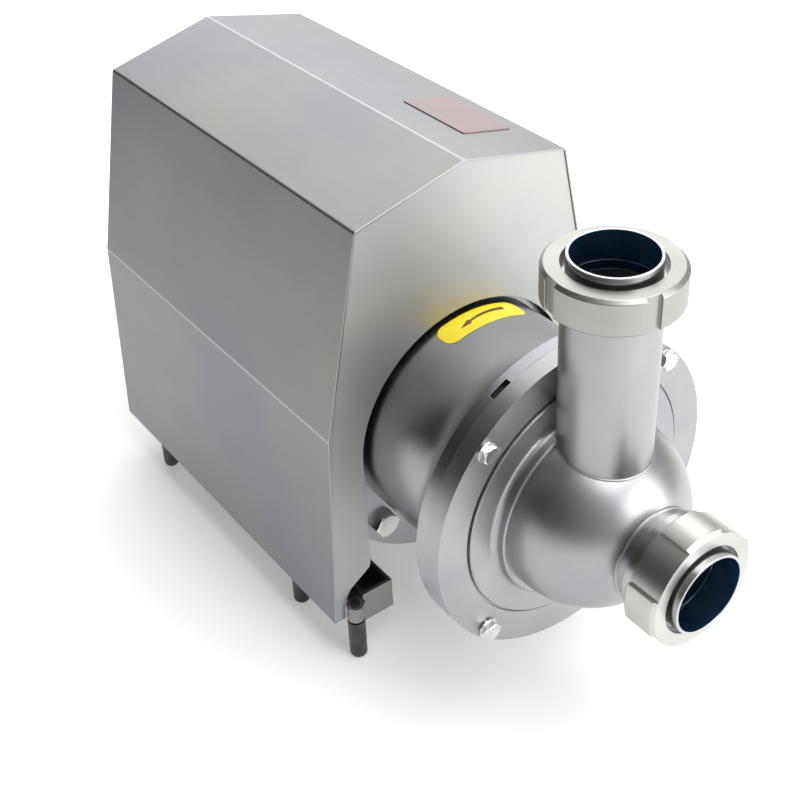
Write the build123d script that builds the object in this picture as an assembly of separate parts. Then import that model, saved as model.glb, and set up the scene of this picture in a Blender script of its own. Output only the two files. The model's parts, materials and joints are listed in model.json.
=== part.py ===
from build123d import *
from math import atan2, cos, degrees, hypot, radians, sin, sqrt, tan
import os

# Sanitary centrifugal pump with a close-coupled motor under a folded shroud, in millimetres.
# The pump is drawn about its shaft: X to the right, Y to the rear, Z up, with the origin on the
# shaft axis at the shroud's front edge. It is moved to its place on the floor when it is written.

# Clearances
THREAD_FIT = 0.05
SHAFT_FIT = 0.05
BOLT_HOLE_FIT = 0.5
SEAL_FACE_GAP = 0.02
AIR_GAP = 0.4
BALL_FIT = 0.06
IMPELLER_GAP = 1.0

# Shroud sheet, folded over the motor
SHROUD_LENGTH = 350.0
SHROUD_SHEET = 1.5
RIDGE_Z = 216.0
EAVE_Z = 194.0
EAVE_HALF = 93.0
CREASE_Z = 34.0
CREASE_HALF = 126.0
SKIRT_Z = -142.5
SKIRT_HALF = 134.0
FOLD_RADIUS = 3.0
PANEL_SHEET = 1.5
PANEL_INSET = 1.0

# Cut-out of the front panel round the drum
ARCH_GAP = 4.5
CUT_SIDE_Z = -102.0
CUT_SHOULDER_INSET = 17.0
CUT_SHOULDER_Z = -115.0
PANEL_LEG_WIDTH = 9.0
PANEL_LEG_TOP_Z = -126.0
CUT_ROUND = 6.0

# Air slots of the rear panel
SLOT_LENGTH = 46.0
SLOT_HEIGHT = 5.0
SLOT_PITCH = 14.0
SLOT_COLUMN_PITCH = 60.0
SLOT_COLUMNS = 3
SLOT_ROWS = 12
SLOT_LOWEST_Z = -80.0

# Plate on the right slope of the roof
PLATE_X = 56.0
PLATE_Y = 80.5
PLATE_WIDTH = 45.0
PLATE_LENGTH = 73.0
PLATE_THICKNESS = 0.8
PLATE_ROUND = 2.0

# Motor, with the feet and the flange of frame size 100
SHAFT_HEIGHT = 182.0
MOTOR_HEIGHT = 100.0
MOTOR_FACE_Y = 20.0
FOOT_HOLES_ACROSS = 160.0
FOOT_HOLES_ALONG = 140.0
FACE_TO_FOOT_HOLE = 63.0
MOTOR_FLANGE_RADIUS = 125.0
MOTOR_FLANGE_THICKNESS = 12.0
FLANGE_BOLT_CIRCLE = 107.5
SPIGOT_RADIUS = 90.0
SPIGOT_DEPTH = 4.0
SHIELD_RADIUS = 96.0
FRONT_SHIELD_DEPTH = 18.0
REAR_SHIELD_DEPTH = 12.0
SHIELD_WEB = 6.0
SHIELD_LIP = 4.0
FRAME_LENGTH = 200.0
FRAME_BORE = 78.0
FRAME_WALL = 6.0
FIN_HEIGHT = 14.0
FIN_THICKNESS = 3.0
FIN_STEP = 10
FIN_FIRST_ANGLE = 40
FIN_LAST_ANGLE = 320
FIN_END_SETBACK = 2.0
MOTOR_PAD_WIDTH = 40.0
MOTOR_PAD_THICKNESS = 12.0
MOTOR_PAD_OUTER_X = 102.0
MOTOR_PAD_INNER_X = 58.0
MOTOR_PAD_WEB = 8.0
TIE_BOLT_ANGLES = (65, 115, 245, 295)
TIE_BOLT_CIRCLE = 90.0
TIE_BOLT_RADIUS = 3.0
TIE_BOLT_HEAD_RADIUS = 5.0
TIE_BOLT_HEAD = 4.0
TIE_BOLT_THREAD = 10.0

# Stator, rotor and motor shaft
CORE_LENGTH = 120.0
CORE_START = 45.0
STATOR_BORE_RADIUS = 42.4
STATOR_SLOTS = 24
STATOR_SLOT_WIDTH = 5.0
STATOR_SLOT_INNER = 47.0
STATOR_SLOT_OUTER = 62.0
WINDING_INNER = 50.0
WINDING_OUTER = 72.0
WINDING_END_LENGTH = 27.0
ROTOR_BARS = 22
ROTOR_BAR_CIRCLE = 35.0
ROTOR_BAR_RADIUS = 3.0
CAGE_RING_WIDTH = 14.0
CAGE_RING_STEP = 2.0
CAGE_RING_LENGTH = 10.0
SHAFT_END_RADIUS = 14.0
SHAFT_END_LENGTH = 60.0
SHAFT_SEAT_RADIUS = 15.0
SHAFT_CORE_RADIUS = 19.0
FAN_SEAT_RADIUS = 11.0

# Deep-groove ball bearings, 30 x 62 x 16
BEARING_OUTER = 31.0
BEARING_WIDTH = 16.0
FRONT_BEARING_SETBACK = 10.0
BEARING_RING_WALL = 4.6
BALL_RADIUS = 4.76
BALLS = 9
CAGE_WALL = 2.6
CAGE_WIDTH = 12.0
CAGE_POCKET_FIT = 0.14
BEARING_SHOULDER = 2.0
BEARING_BOSS_WALL = 5.0

# Fan and its cover
FAN_RADIUS = 80.0
FAN_WIDTH = 26.0
FAN_DISC = 3.0
FAN_HUB_WALL = 9.0
FAN_BLADES = 7
FAN_BLADE_THICKNESS = 2.5
FAN_GAP = 4.0
FAN_COVER_SHEET = 1.5
FAN_COVER_DEPTH = 76.0
FAN_COVER_OVERLAP = 10.0
GRILLE_SLOTS = 24
GRILLE_SLOT_WIDTH = 5.0
GRILLE_INNER = 30.0
GRILLE_OUTER = 80.0

# Terminal box
SADDLE_HALF_WIDTH = 45.0
SADDLE_LENGTH = 90.0
SADDLE_Z = 98.0
BOX_CENTRE_Y = 110.0
BOX_HALF_WIDTH = 48.0
BOX_LENGTH = 96.0
BOX_HEIGHT = 42.0
BOX_WALL = 4.0
LID_THICKNESS = 5.0
LID_SCREW_RADIUS = 2.5
LID_SCREW_HEAD_RADIUS = 4.2
LID_SCREW_HEAD = 2.5
LID_SCREW_DEPTH = 16.0
LID_POST_RADIUS = 5.0
LID_POST_SINK = 1.5
TERMINAL_BLOCK_HALF_WIDTH = 24.0
TERMINAL_BLOCK_LENGTH = 34.0
TERMINAL_BLOCK_HEIGHT = 12.0
TERMINAL_STUD_RADIUS = 2.0
TERMINAL_STUD_HEIGHT = 10.0
TERMINAL_STUD_PITCH = 15.0
GLAND_THREAD_RADIUS = 10.0
GLAND_BORE_RADIUS = 6.5
GLAND_HEX = 24.0
GLAND_HEX_LENGTH = 6.0
GLAND_CAP_RADIUS = 11.0
GLAND_CAP_LENGTH = 14.0
GLAND_THREAD_LENGTH = 8.0

# Chassis: two channels, two bridges and six feet
RAIL_INSET = 26.5
RAIL_WIDTH = 28.0
RAIL_DEPTH = 28.0
RAIL_WALL = 3.0
RAIL_LENGTH = 335.0
BRIDGE_WIDTH = 40.0
BRIDGE_DEPTH = 27.0
BRIDGE_WALL = 3.0
BOSS_RADIUS = 7.0
BOSS_DEPTH = 14.0
LUG_THICKNESS = 10.0
LUG_REACH = 16.0
FOOT_RADIUS = 7.0
FOOT_TIP_ROUND = 5.0
FOOT_TOP_GAP = 2.0
FOOT_STUD_RADIUS = 4.0
FOOT_STUD_PROUD = 2.0
FRONT_FOOT_INSET = 16.5
FRONT_FOOT_Y = -4.0
SIDE_FOOT_INSET = 13.5
MIDDLE_FOOT_Y = 74.0
REAR_FOOT_Y = 300.0

# Brackets and studs that hold the shroud to the rails
BRACKET_PLACES_Y = (38.0, 180.0, 268.0)
BRACKET_WIDTH = 24.0
BRACKET_SHEET = 3.0
BRACKET_FOOT_DROP = 6.0
BRACKET_HEIGHT = 31.0
STUD_RADIUS = 3.0
STUD_LENGTH = 12.0
STUD_DROP = 11.0
STUD_NUT_FLATS = 10.0
STUD_NUT_HEIGHT = 5.0

# Hexagon bolts and nuts
FOOT_BOLT_RADIUS = 5.0
FOOT_BOLT_FLATS = 17.0
FOOT_BOLT_HEAD = 6.4
FOOT_BOLT_NUT = 8.0
FOOT_BOLT_PROUD = 2.0
FLANGE_BOLT_RADIUS = 6.0
FLANGE_BOLT_FLATS = 19.0
FLANGE_BOLT_HEAD = 7.5
FLANGE_BOLT_NUT = 10.0
FLANGE_BOLT_PROUD = 2.0
CASING_BOLT_RADIUS = 4.0
CASING_BOLT_FLATS = 13.0
CASING_BOLT_HEAD = 5.3
CASING_BOLT_CIRCLE = 114.0
CASING_BOLT_THREAD = 10.0
CASING_WASHER_RADIUS = 8.0
CASING_WASHER = 1.6
BOLT_ANGLES = (45, 135, 225, 315)

# Lantern: drum with a rear flange and a flared front rim
DRUM_RADIUS = 93.0
DRUM_WALL = 5.0
LANTERN_REAR_FLANGE = 8.0
DRUM_FRONT_Y = -58.0
FLARE_START_Y = -96.0
RIM_RADIUS = 122.5
RIM_DEPTH = 10.0
RIM_WEB_INNER = 96.0
RIM_WEB = 8.0
PRY_SLOT_WIDTH = 16.0
PRY_SLOT_DEPTH = 5.0
PRY_SLOT_INNER = 114.0
PRY_SLOT_ANGLE = -27.0
LABEL_START_ANGLE = -20.0
LABEL_END_ANGLE = 26.0
LABEL_REAR_Y = -1.0
LABEL_WIDTH = 21.0
LABEL_THICKNESS = 0.3
LABEL_GLUE = 0.05

# Back plate of the casing and its ring seal
BACK_PLATE_RADIUS = 104.0
BACK_PLATE_THICKNESS = 6.0
BACK_PLATE_FIT = 0.5
RING_SEAL_RADIUS = 97.5
RING_SEAL_SECTION = 1.8
RING_GROOVE_FIT = 0.2

# Casing cover
COVER_FLANGE_THICKNESS = 14.0
COVER_GROOVE_RADIUS = 97.5
COVER_GROOVE_HALF = 0.75
COVER_GROOVE_DEPTH = 1.5
COVER_DISC_RADIUS = 96.5
COVER_DISC_PROUD = 2.0
COVER_DISC_EDGE = 0.8
STEP_FILLET = 4.5
STEP_RADIUS = 75.5
STEP_CREST_Y = -131.5
STEP_CREST_EDGE = 1.0
BULB_RADIUS = 71.0
BULB_CENTRE_Y = -134.5
COVER_WALL = 3.0
CHAMBER_RADIUS = 92.0
CHAMBER_DEPTH = 12.5
CHAMBER_LIP = 4.0
BULB_ARC_ANGLE = 30.0
NECK_RADIUS = 35.0
NECK_END_Y = -206.0
NECK_WELD_RADIUS = 36.2
NECK_WELD_LENGTH = 2.0

# Delivery pipe
OUTLET_Y = -145.5
PIPE_RADIUS = 32.75
PIPE_TOP_Z = 180.2

# Suction tube and its guide plate
SUCTION_WALL = 2.0
SUCTION_END_Y = -212.0
SUCTION_PLATE_RADIUS = 58.0
SUCTION_PLATE = 3.0

# Unions, alike at both ports; a seat is the face that the gasket lies on
INLET_SEAT_Y = -223.5
OUTLET_SEAT_Z = 187.2
UNION_BORE = 30.0
UNION_THREAD_RADIUS = 39.0
UNION_GASKET = 3.0
UNION_COLLAR_RADIUS = 36.0
UNION_COLLAR = 7.3
UNION_TUBE_RADIUS = 30.15
UNION_TUBE_WALL = 2.0
UNION_TUBE_REACH = 23.0
NUT_RADIUS = 46.0
NUT_HEIGHT = 25.5
NUT_OVERLAP = 8.5
NUT_HOLE = 33.4
NUT_BEVEL = 2.5
NUT_BACK_BEVEL = 1.0
RECESS_DEPTH = 2.5
RECESSES = 4
INLET_RECESS_ARC = 50.0
INLET_RECESS_ANGLE = -47.0
OUTLET_RECESS_WIDTH = 10.0
OUTLET_RECESS_ANGLE = -168.0

# Stub shaft, clamp and keys
STUB_HUB_RADIUS = 24.0
STUB_HUB_REAR_Y = 12.0
STUB_HUB_FRONT_Y = -44.0
STUB_BORE_SPARE = 1.0
STUB_RADIUS = 15.0
STUB_NOSE_RADIUS = 11.0
STUB_NOSE_LENGTH = 16.0
STUB_THREAD_RADIUS = 8.0
STUB_THREAD_LENGTH = 10.0
CLAMP_RADIUS = 34.0
CLAMP_REAR_Y = -6.0
CLAMP_WIDTH = 16.0
CLAMP_SLIT = 3.0
MOTOR_KEY_WIDTH = 8.0
MOTOR_KEY_HEIGHT = 7.0
MOTOR_KEY_LENGTH = 40.0
MOTOR_KEY_SETBACK = 5.0
MOTOR_KEY_DEPTH = 4.0
IMPELLER_KEY_WIDTH = 4.0
IMPELLER_KEY_HEIGHT = 4.0
IMPELLER_KEY_LENGTH = 10.0
IMPELLER_KEY_DEPTH = 2.5

# Impeller and its nut
IMPELLER_RADIUS = 70.0
IMPELLER_DISC = 3.0
IMPELLER_HUB_RADIUS = 18.0
IMPELLER_BLADES = 6
IMPELLER_BLADE_THICKNESS = 3.0
IMPELLER_BLADE_SWEEP = 62.0
IMPELLER_BLADE_MID_SWEEP = 22.3
IMPELLER_NUT_RADIUS = 17.0
IMPELLER_NUT_LENGTH = 15.0
IMPELLER_NUT_ROUND = 9.0

# Shaft seal
SEAT_BORE = 16.0
SEAT_RADIUS = 24.0
SEAT_LENGTH = 8.0
SEAT_RECESS = 3.0
SEAT_HOUSING_WALL = 8.0
SEAT_HOUSING_LENGTH = 10.0
SEAL_RING_RADIUS = 21.0
SEAL_RING_LENGTH = 9.0
SPRING_RADIUS = 18.0
SPRING_WIRE = 1.0
SPRING_PITCH = 4.0
SPRING_LENGTH = 12.0
SEAL_COLLAR_RADIUS = 22.0
SEAL_COLLAR_LENGTH = 8.0

# Places along the shaft that follow from the sizes above
RIM_FACE_Y = FLARE_START_Y - RIM_DEPTH
BACK_PLATE_REAR_Y = RIM_FACE_Y + BACK_PLATE_THICKNESS
COVER_FACE_Y = RIM_FACE_Y - COVER_FLANGE_THICKNESS
COVER_DISC_Y = COVER_FACE_Y - COVER_DISC_PROUD
CHAMBER_FACE_Y = RIM_FACE_Y - CHAMBER_DEPTH
SUCTION_RADIUS = UNION_BORE + SUCTION_WALL
ARCH_RADIUS = DRUM_RADIUS + ARCH_GAP
FRAME_RADIUS = FRAME_BORE + FRAME_WALL
MOTOR_FLANGE_REAR_Y = MOTOR_FACE_Y + MOTOR_FLANGE_THICKNESS
FRAME_FRONT_Y = MOTOR_FLANGE_REAR_Y + FRONT_SHIELD_DEPTH
FRAME_REAR_Y = FRAME_FRONT_Y + FRAME_LENGTH
SHIELD_REAR_Y = FRAME_REAR_Y + REAR_SHIELD_DEPTH
CORE_FRONT_Y = FRAME_FRONT_Y + CORE_START
CORE_REAR_Y = CORE_FRONT_Y + CORE_LENGTH
ROTOR_RADIUS = STATOR_BORE_RADIUS - AIR_GAP
FRONT_BEARING_Y = MOTOR_FACE_Y + FRONT_BEARING_SETBACK
REAR_BEARING_Y = FRAME_REAR_Y
FAN_FRONT_Y = REAR_BEARING_Y + BEARING_WIDTH + BEARING_BOSS_WALL + FAN_GAP
FAN_COVER_FRONT_Y = SHIELD_REAR_Y - FAN_COVER_OVERLAP
FAN_COVER_REAR_Y = FAN_COVER_FRONT_Y + FAN_COVER_DEPTH
MOTOR_FEET_Z = -MOTOR_HEIGHT
RAIL_OUTER_X = SKIRT_HALF - RAIL_INSET
FRONT_FOOT_X = SKIRT_HALF - FRONT_FOOT_INSET
SIDE_FOOT_X = SKIRT_HALF - SIDE_FOOT_INSET
CUT_SHOULDER_X = SKIRT_HALF - CUT_SHOULDER_INSET
RAIL_TOP_Z = MOTOR_FEET_Z - BRIDGE_DEPTH
FRONT_FEET_Y = MOTOR_FACE_Y + FACE_TO_FOOT_HOLE
REAR_FEET_Y = FRONT_FEET_Y + FOOT_HOLES_ALONG
FOOT_BOLT_X = FOOT_HOLES_ACROSS / 2
BOSS_LOW_Z = RAIL_TOP_Z - BOSS_DEPTH
FOOT_TOP_Z = BOSS_LOW_Z - FOOT_TOP_GAP
STUB_END_Y = RIM_FACE_Y
STUB_NOSE_Y = STUB_END_Y - STUB_NOSE_LENGTH
UNION_COLLAR_TOP = UNION_GASKET + UNION_COLLAR
NUT_TOP = NUT_HEIGHT - NUT_OVERLAP
INLET_MOUTH_Y = INLET_SEAT_Y - UNION_TUBE_REACH
WALL_SLOPE = (SKIRT_HALF - CREASE_HALF) / (CREASE_Z - SKIRT_Z)
WALL_ANGLE = degrees(atan2(SKIRT_HALF - CREASE_HALF, CREASE_Z - SKIRT_Z))
ROOF_ANGLE = degrees(atan2(RIDGE_Z - EAVE_Z, EAVE_HALF))

FEET = {
    "front_left": (-FRONT_FOOT_X, FRONT_FOOT_Y),
    "front_right": (FRONT_FOOT_X, FRONT_FOOT_Y),
    "middle_left": (-SIDE_FOOT_X, MIDDLE_FOOT_Y),
    "middle_right": (SIDE_FOOT_X, MIDDLE_FOOT_Y),
    "rear_left": (-SIDE_FOOT_X, REAR_FOOT_Y),
    "rear_right": (SIDE_FOOT_X, REAR_FOOT_Y),
}


# Shapes that many pieces share

def block(x_span, y_span, z_span):
    """Return a box between two values on each axis."""
    size = [span[1] - span[0] for span in (x_span, y_span, z_span)]
    low = (Align.MIN, Align.MIN, Align.MIN)
    return Pos(x_span[0], y_span[0], z_span[0]) * Box(*size, align=low)


def rod(radius, start, end, x=0.0, z=0.0):
    """Return a round bar along Y."""
    low = (Align.CENTER, Align.CENTER, Align.MIN)
    return Pos(x, start, z) * Rot(-90, 0, 0) * Cylinder(radius, end - start, align=low)


def ring(outer, inner, start, end):
    """Return a ring about the shaft axis."""
    return rod(outer, start, end) - rod(inner, start, end)


def post(radius, low, high, x=0.0, y=0.0):
    """Return a round bar along Z."""
    base = (Align.CENTER, Align.CENTER, Align.MIN)
    return Pos(x, y, low) * Cylinder(radius, high - low, align=base)


def hexagon(flats, start, end, x=0.0, z=0.0):
    """Return a hexagonal bar along Y."""
    sketch = RegularPolygon(flats / 2, 6, major_radius=False)
    return Pos(x, start, z) * Rot(-90, 0, 0) * extrude(sketch, amount=end - start)


def turned(points):
    """Revolve corners, given as radius and Y, about the shaft axis."""
    return revolve(make_face(Polyline(*points, close=True)), Axis.Y)


def turned_lines(lines):
    """Revolve a closed outline of lines and arcs about the shaft axis."""
    return revolve(make_face(lines), Axis.Y)


def turned_upright(points):
    """Revolve corners, given as radius and Z, about the Z axis."""
    corners = [(radius, 0, z) for radius, z in points]
    return revolve(make_face(Polyline(*corners, close=True)), Axis.Z)


def plate(sketch, start, end):
    """Extrude an outline drawn in X and Z along Y."""
    return extrude(Pos(0, start, 0) * (Plane.XZ * sketch), amount=end - start, dir=(0, 1, 0))


def turn(angle, piece):
    """Turn a piece about the shaft axis, from the top towards the right."""
    return Rot(0, angle, 0) * piece


def polar(radius, angle):
    """Return X and Z at a radius and an angle from the top towards the right."""
    return radius * sin(radians(angle)), radius * cos(radians(angle))


def group(pieces):
    """Keep several solids apart in one compound."""
    return Compound(children=[solid for piece in pieces for solid in piece.solids()])


def left_of(piece):
    """Return the mirror image of a piece on the right."""
    return mirror(piece, about=Plane.YZ)


# Shroud

def wall_x(z, depth=0.0):
    """Return where the right wall's face is at a height, at a depth under its outer face."""
    outer = SKIRT_HALF + WALL_SLOPE * (SKIRT_Z - z)
    return outer - depth / cos(radians(WALL_ANGLE))


def shroud_area(inset):
    """Return the area under the folded sheet's outer face, set in and open at the skirt."""
    low = SKIRT_Z - 3 * SHROUD_SHEET
    right = [(0, RIDGE_Z), (EAVE_HALF, EAVE_Z), (CREASE_HALF, CREASE_Z), (wall_x(low), low)]
    left = [(-x, z) for x, z in reversed(right[1:])]
    area = make_face(Polyline(*right, *left, close=True))
    if inset > 0:
        area = offset(area, amount=-inset, kind=Kind.INTERSECTION)
    folds = [corner for corner in area.vertices() if corner.Y > SKIRT_Z]
    area = fillet(folds, FOLD_RADIUS - inset)
    above = (Align.CENTER, Align.MIN)
    return area & Pos(0, SKIRT_Z) * Rectangle(3 * SKIRT_HALF, 2 * (RIDGE_Z - SKIRT_Z), align=above)


def make_shroud_cover():
    sheet = shroud_area(0) - shroud_area(SHROUD_SHEET)
    return plate(sheet, 0, SHROUD_LENGTH)


def cut_out():
    """Return the front panel's opening: an arch over a splayed foot."""
    leg_x = wall_x(SKIRT_Z, SHROUD_SHEET) - PANEL_LEG_WIDTH
    rounded = [(ARCH_RADIUS, CUT_SIDE_Z), (CUT_SHOULDER_X, CUT_SHOULDER_Z), (leg_x, PANEL_LEG_TOP_Z)]
    right = [(ARCH_RADIUS, 0), *rounded, (leg_x, SKIRT_Z - PANEL_LEG_WIDTH)]
    left = [(-x, z) for x, z in reversed(right)]
    foot = make_face(Polyline(*right, *left, close=True))
    heights = [z for x, z in rounded]
    corners = [corner for corner in foot.vertices() if any(abs(corner.Y - z) < 0.01 for z in heights)]
    return Circle(ARCH_RADIUS) + fillet(corners, CUT_ROUND)


def make_front_panel():
    sheet = shroud_area(SHROUD_SHEET) - cut_out()
    return plate(sheet, PANEL_INSET, PANEL_INSET + PANEL_SHEET)


def make_rear_panel():
    sheet = shroud_area(SHROUD_SHEET)
    for column in range(SLOT_COLUMNS):
        x = (column - (SLOT_COLUMNS - 1) / 2) * SLOT_COLUMN_PITCH
        for row in range(SLOT_ROWS):
            z = SLOT_LOWEST_Z + row * SLOT_PITCH
            sheet -= Pos(x, z) * SlotOverall(SLOT_LENGTH, SLOT_HEIGHT)
    rear = SHROUD_LENGTH - PANEL_INSET
    return plate(sheet, rear - PANEL_SHEET, rear)


def make_nameplate():
    sketch = RectangleRounded(PLATE_WIDTH, PLATE_LENGTH, PLATE_ROUND)
    z = RIDGE_Z - PLATE_X * tan(radians(ROOF_ANGLE))
    return Pos(PLATE_X, PLATE_Y, z) * Rot(0, ROOF_ANGLE, 0) * extrude(sketch, amount=PLATE_THICKNESS)


def make_shroud_fasteners():
    """Return the studs on the inner faces of the walls, with their nuts."""
    z = RAIL_TOP_Z + BRACKET_HEIGHT - BRACKET_FOOT_DROP - STUD_DROP
    stud = Rot(0, 90, 0) * post(STUD_RADIUS, -STUD_LENGTH, 0)
    nut = extrude(RegularPolygon(STUD_NUT_FLATS / 2, 6, major_radius=False), amount=STUD_NUT_HEIGHT)
    nut -= post(STUD_RADIUS + THREAD_FIT, 0, STUD_NUT_HEIGHT)
    nut = Pos(-BRACKET_SHEET - STUD_NUT_HEIGHT, 0, 0) * Rot(0, 90, 0) * nut
    pieces = []
    for y in BRACKET_PLACES_Y:
        place = Pos(wall_x(z, SHROUD_SHEET), y, z) * Rot(0, -WALL_ANGLE, 0)
        pieces += [place * stud, place * nut, left_of(place * stud), left_of(place * nut)]
    return group(pieces)


# Chassis

def bracket(y):
    """Return the right-hand angle that joins a rail to the shroud's wall."""
    low = RAIL_TOP_Z - BRACKET_FOOT_DROP
    top = low + BRACKET_HEIGHT
    step = low + BRACKET_SHEET
    face = SHROUD_SHEET
    back = SHROUD_SHEET + BRACKET_SHEET
    corners = [
        (RAIL_OUTER_X, low), (wall_x(low, face), low), (wall_x(top, face), top),
        (wall_x(top, back), top), (wall_x(step, back), step), (RAIL_OUTER_X, step),
    ]
    angle = plate(make_face(Polyline(*corners, close=True)), y - BRACKET_WIDTH / 2, y + BRACKET_WIDTH / 2)
    z = top - STUD_DROP
    hole = Rot(0, 90, 0) * post(STUD_RADIUS + BOLT_HOLE_FIT, -2 * STUD_LENGTH, STUD_LENGTH)
    return angle - Pos(wall_x(z, SHROUD_SHEET), y, z) * Rot(0, -WALL_ANGLE, 0) * hole


def foot_boss(x, y):
    """Return a threaded boss with the lug that joins it to the rail's outer side."""
    lug_y = max(y, 0)
    lug = block((RAIL_OUTER_X, x), (y, lug_y + LUG_REACH), (BOSS_LOW_Z, BOSS_LOW_Z + LUG_THICKNESS))
    boss = post(BOSS_RADIUS, BOSS_LOW_Z, RAIL_TOP_Z, x, y)
    hole = post(FOOT_STUD_RADIUS + THREAD_FIT, BOSS_LOW_Z, RAIL_TOP_Z, x, y)
    return boss + lug - hole


def make_rail():
    """Return the right-hand channel, open at the top, with its bosses and brackets."""
    inner_x = RAIL_OUTER_X - RAIL_WIDTH
    low = RAIL_TOP_Z - RAIL_DEPTH
    rail = block((inner_x, RAIL_OUTER_X), (0, RAIL_LENGTH), (low, RAIL_TOP_Z))
    rail -= block((inner_x + RAIL_WALL, RAIL_OUTER_X - RAIL_WALL), (RAIL_WALL, RAIL_LENGTH - RAIL_WALL),
                  (low + RAIL_WALL, RAIL_TOP_Z))
    rail += foot_boss(FRONT_FOOT_X, FRONT_FOOT_Y)
    rail += foot_boss(SIDE_FOOT_X, MIDDLE_FOOT_Y)
    rail += foot_boss(SIDE_FOOT_X, REAR_FOOT_Y)
    for y in BRACKET_PLACES_Y:
        rail += bracket(y)
    return rail


def make_bridges():
    """Return the two rectangular tubes that carry the motor's feet."""
    pieces = []
    for y in (FRONT_FEET_Y, REAR_FEET_Y):
        half = BRIDGE_WIDTH / 2
        tube = block((-RAIL_OUTER_X, RAIL_OUTER_X), (y - half, y + half), (RAIL_TOP_Z, MOTOR_FEET_Z))
        tube -= block((-RAIL_OUTER_X, RAIL_OUTER_X), (y - half + BRIDGE_WALL, y + half - BRIDGE_WALL),
                      (RAIL_TOP_Z + BRIDGE_WALL, MOTOR_FEET_Z - BRIDGE_WALL))
        for x in (-FOOT_BOLT_X, FOOT_BOLT_X):
            tube -= post(FOOT_BOLT_RADIUS + BOLT_HOLE_FIT, MOTOR_FEET_Z - BRIDGE_WALL, MOTOR_FEET_Z, x, y)
        pieces.append(tube)
    return group(pieces)


def make_foot(x, y):
    """Return a round foot with the stud that it screws up and down on."""
    shank = post(FOOT_RADIUS, -SHAFT_HEIGHT, FOOT_TOP_Z, x, y)
    shank = fillet(shank.edges().sort_by(Axis.Z)[0], FOOT_TIP_ROUND)
    return shank + post(FOOT_STUD_RADIUS, FOOT_TOP_Z, RAIL_TOP_Z + FOOT_STUD_PROUD, x, y)


def make_motor_foot_bolts():
    """Return the bolts through the motor's feet, with the nuts inside the bridges."""
    top = MOTOR_FEET_Z + MOTOR_PAD_THICKNESS
    nut_top = MOTOR_FEET_Z - BRIDGE_WALL
    nut_low = nut_top - FOOT_BOLT_NUT
    hexes = RegularPolygon(FOOT_BOLT_FLATS / 2, 6, major_radius=False)
    pieces = []
    for y in (FRONT_FEET_Y, REAR_FEET_Y):
        for x in (-FOOT_BOLT_X, FOOT_BOLT_X):
            head = Pos(x, y, top) * extrude(hexes, amount=FOOT_BOLT_HEAD)
            pieces.append(head + post(FOOT_BOLT_RADIUS, nut_low - FOOT_BOLT_PROUD, top, x, y))
            nut = Pos(x, y, nut_low) * extrude(hexes, amount=FOOT_BOLT_NUT)
            pieces.append(nut - post(FOOT_BOLT_RADIUS + THREAD_FIT, nut_low, nut_top, x, y))
    return group(pieces)


# Motor

def make_motor_frame():
    """Return the finned frame with its feet and the saddle of the terminal box."""
    body = rod(FRAME_RADIUS, FRAME_FRONT_Y, FRAME_REAR_Y)
    tip = FRAME_RADIUS + FIN_HEIGHT
    y_span = (FRAME_FRONT_Y + FIN_END_SETBACK, FRAME_REAR_Y - FIN_END_SETBACK)
    fin = block((-FIN_THICKNESS / 2, FIN_THICKNESS / 2), y_span, (FRAME_BORE + FRAME_WALL / 2, tip))
    for angle in range(FIN_FIRST_ANGLE, FIN_LAST_ANGLE + 1, FIN_STEP):
        body += turn(angle, fin)
    half = SADDLE_LENGTH / 2
    body += block((-SADDLE_HALF_WIDTH, SADDLE_HALF_WIDTH), (BOX_CENTRE_Y - half, BOX_CENTRE_Y + half),
                  (FRAME_BORE / 2, SADDLE_Z))
    for y in (FRONT_FEET_Y, REAR_FEET_Y):
        for side in (-1, 1):
            body += motor_foot(side, y)
    return body - rod(FRAME_BORE, FRAME_FRONT_Y, FRAME_REAR_Y)


def motor_foot(side, y):
    """Return one foot pad with its web and bolt hole."""
    y_span = (y - MOTOR_PAD_WIDTH / 2, y + MOTOR_PAD_WIDTH / 2)
    top = MOTOR_FEET_Z + MOTOR_PAD_THICKNESS
    pad = block((MOTOR_PAD_INNER_X, MOTOR_PAD_OUTER_X), y_span, (MOTOR_FEET_Z, top))
    pad -= post(FOOT_BOLT_RADIUS + BOLT_HOLE_FIT, MOTOR_FEET_Z, top, FOOT_BOLT_X, y)
    web = block((MOTOR_PAD_INNER_X, MOTOR_PAD_INNER_X + MOTOR_PAD_WEB), y_span,
                (MOTOR_FEET_Z, -FRAME_RADIUS / 2))
    return pad + web if side > 0 else left_of(pad + web)


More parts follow.
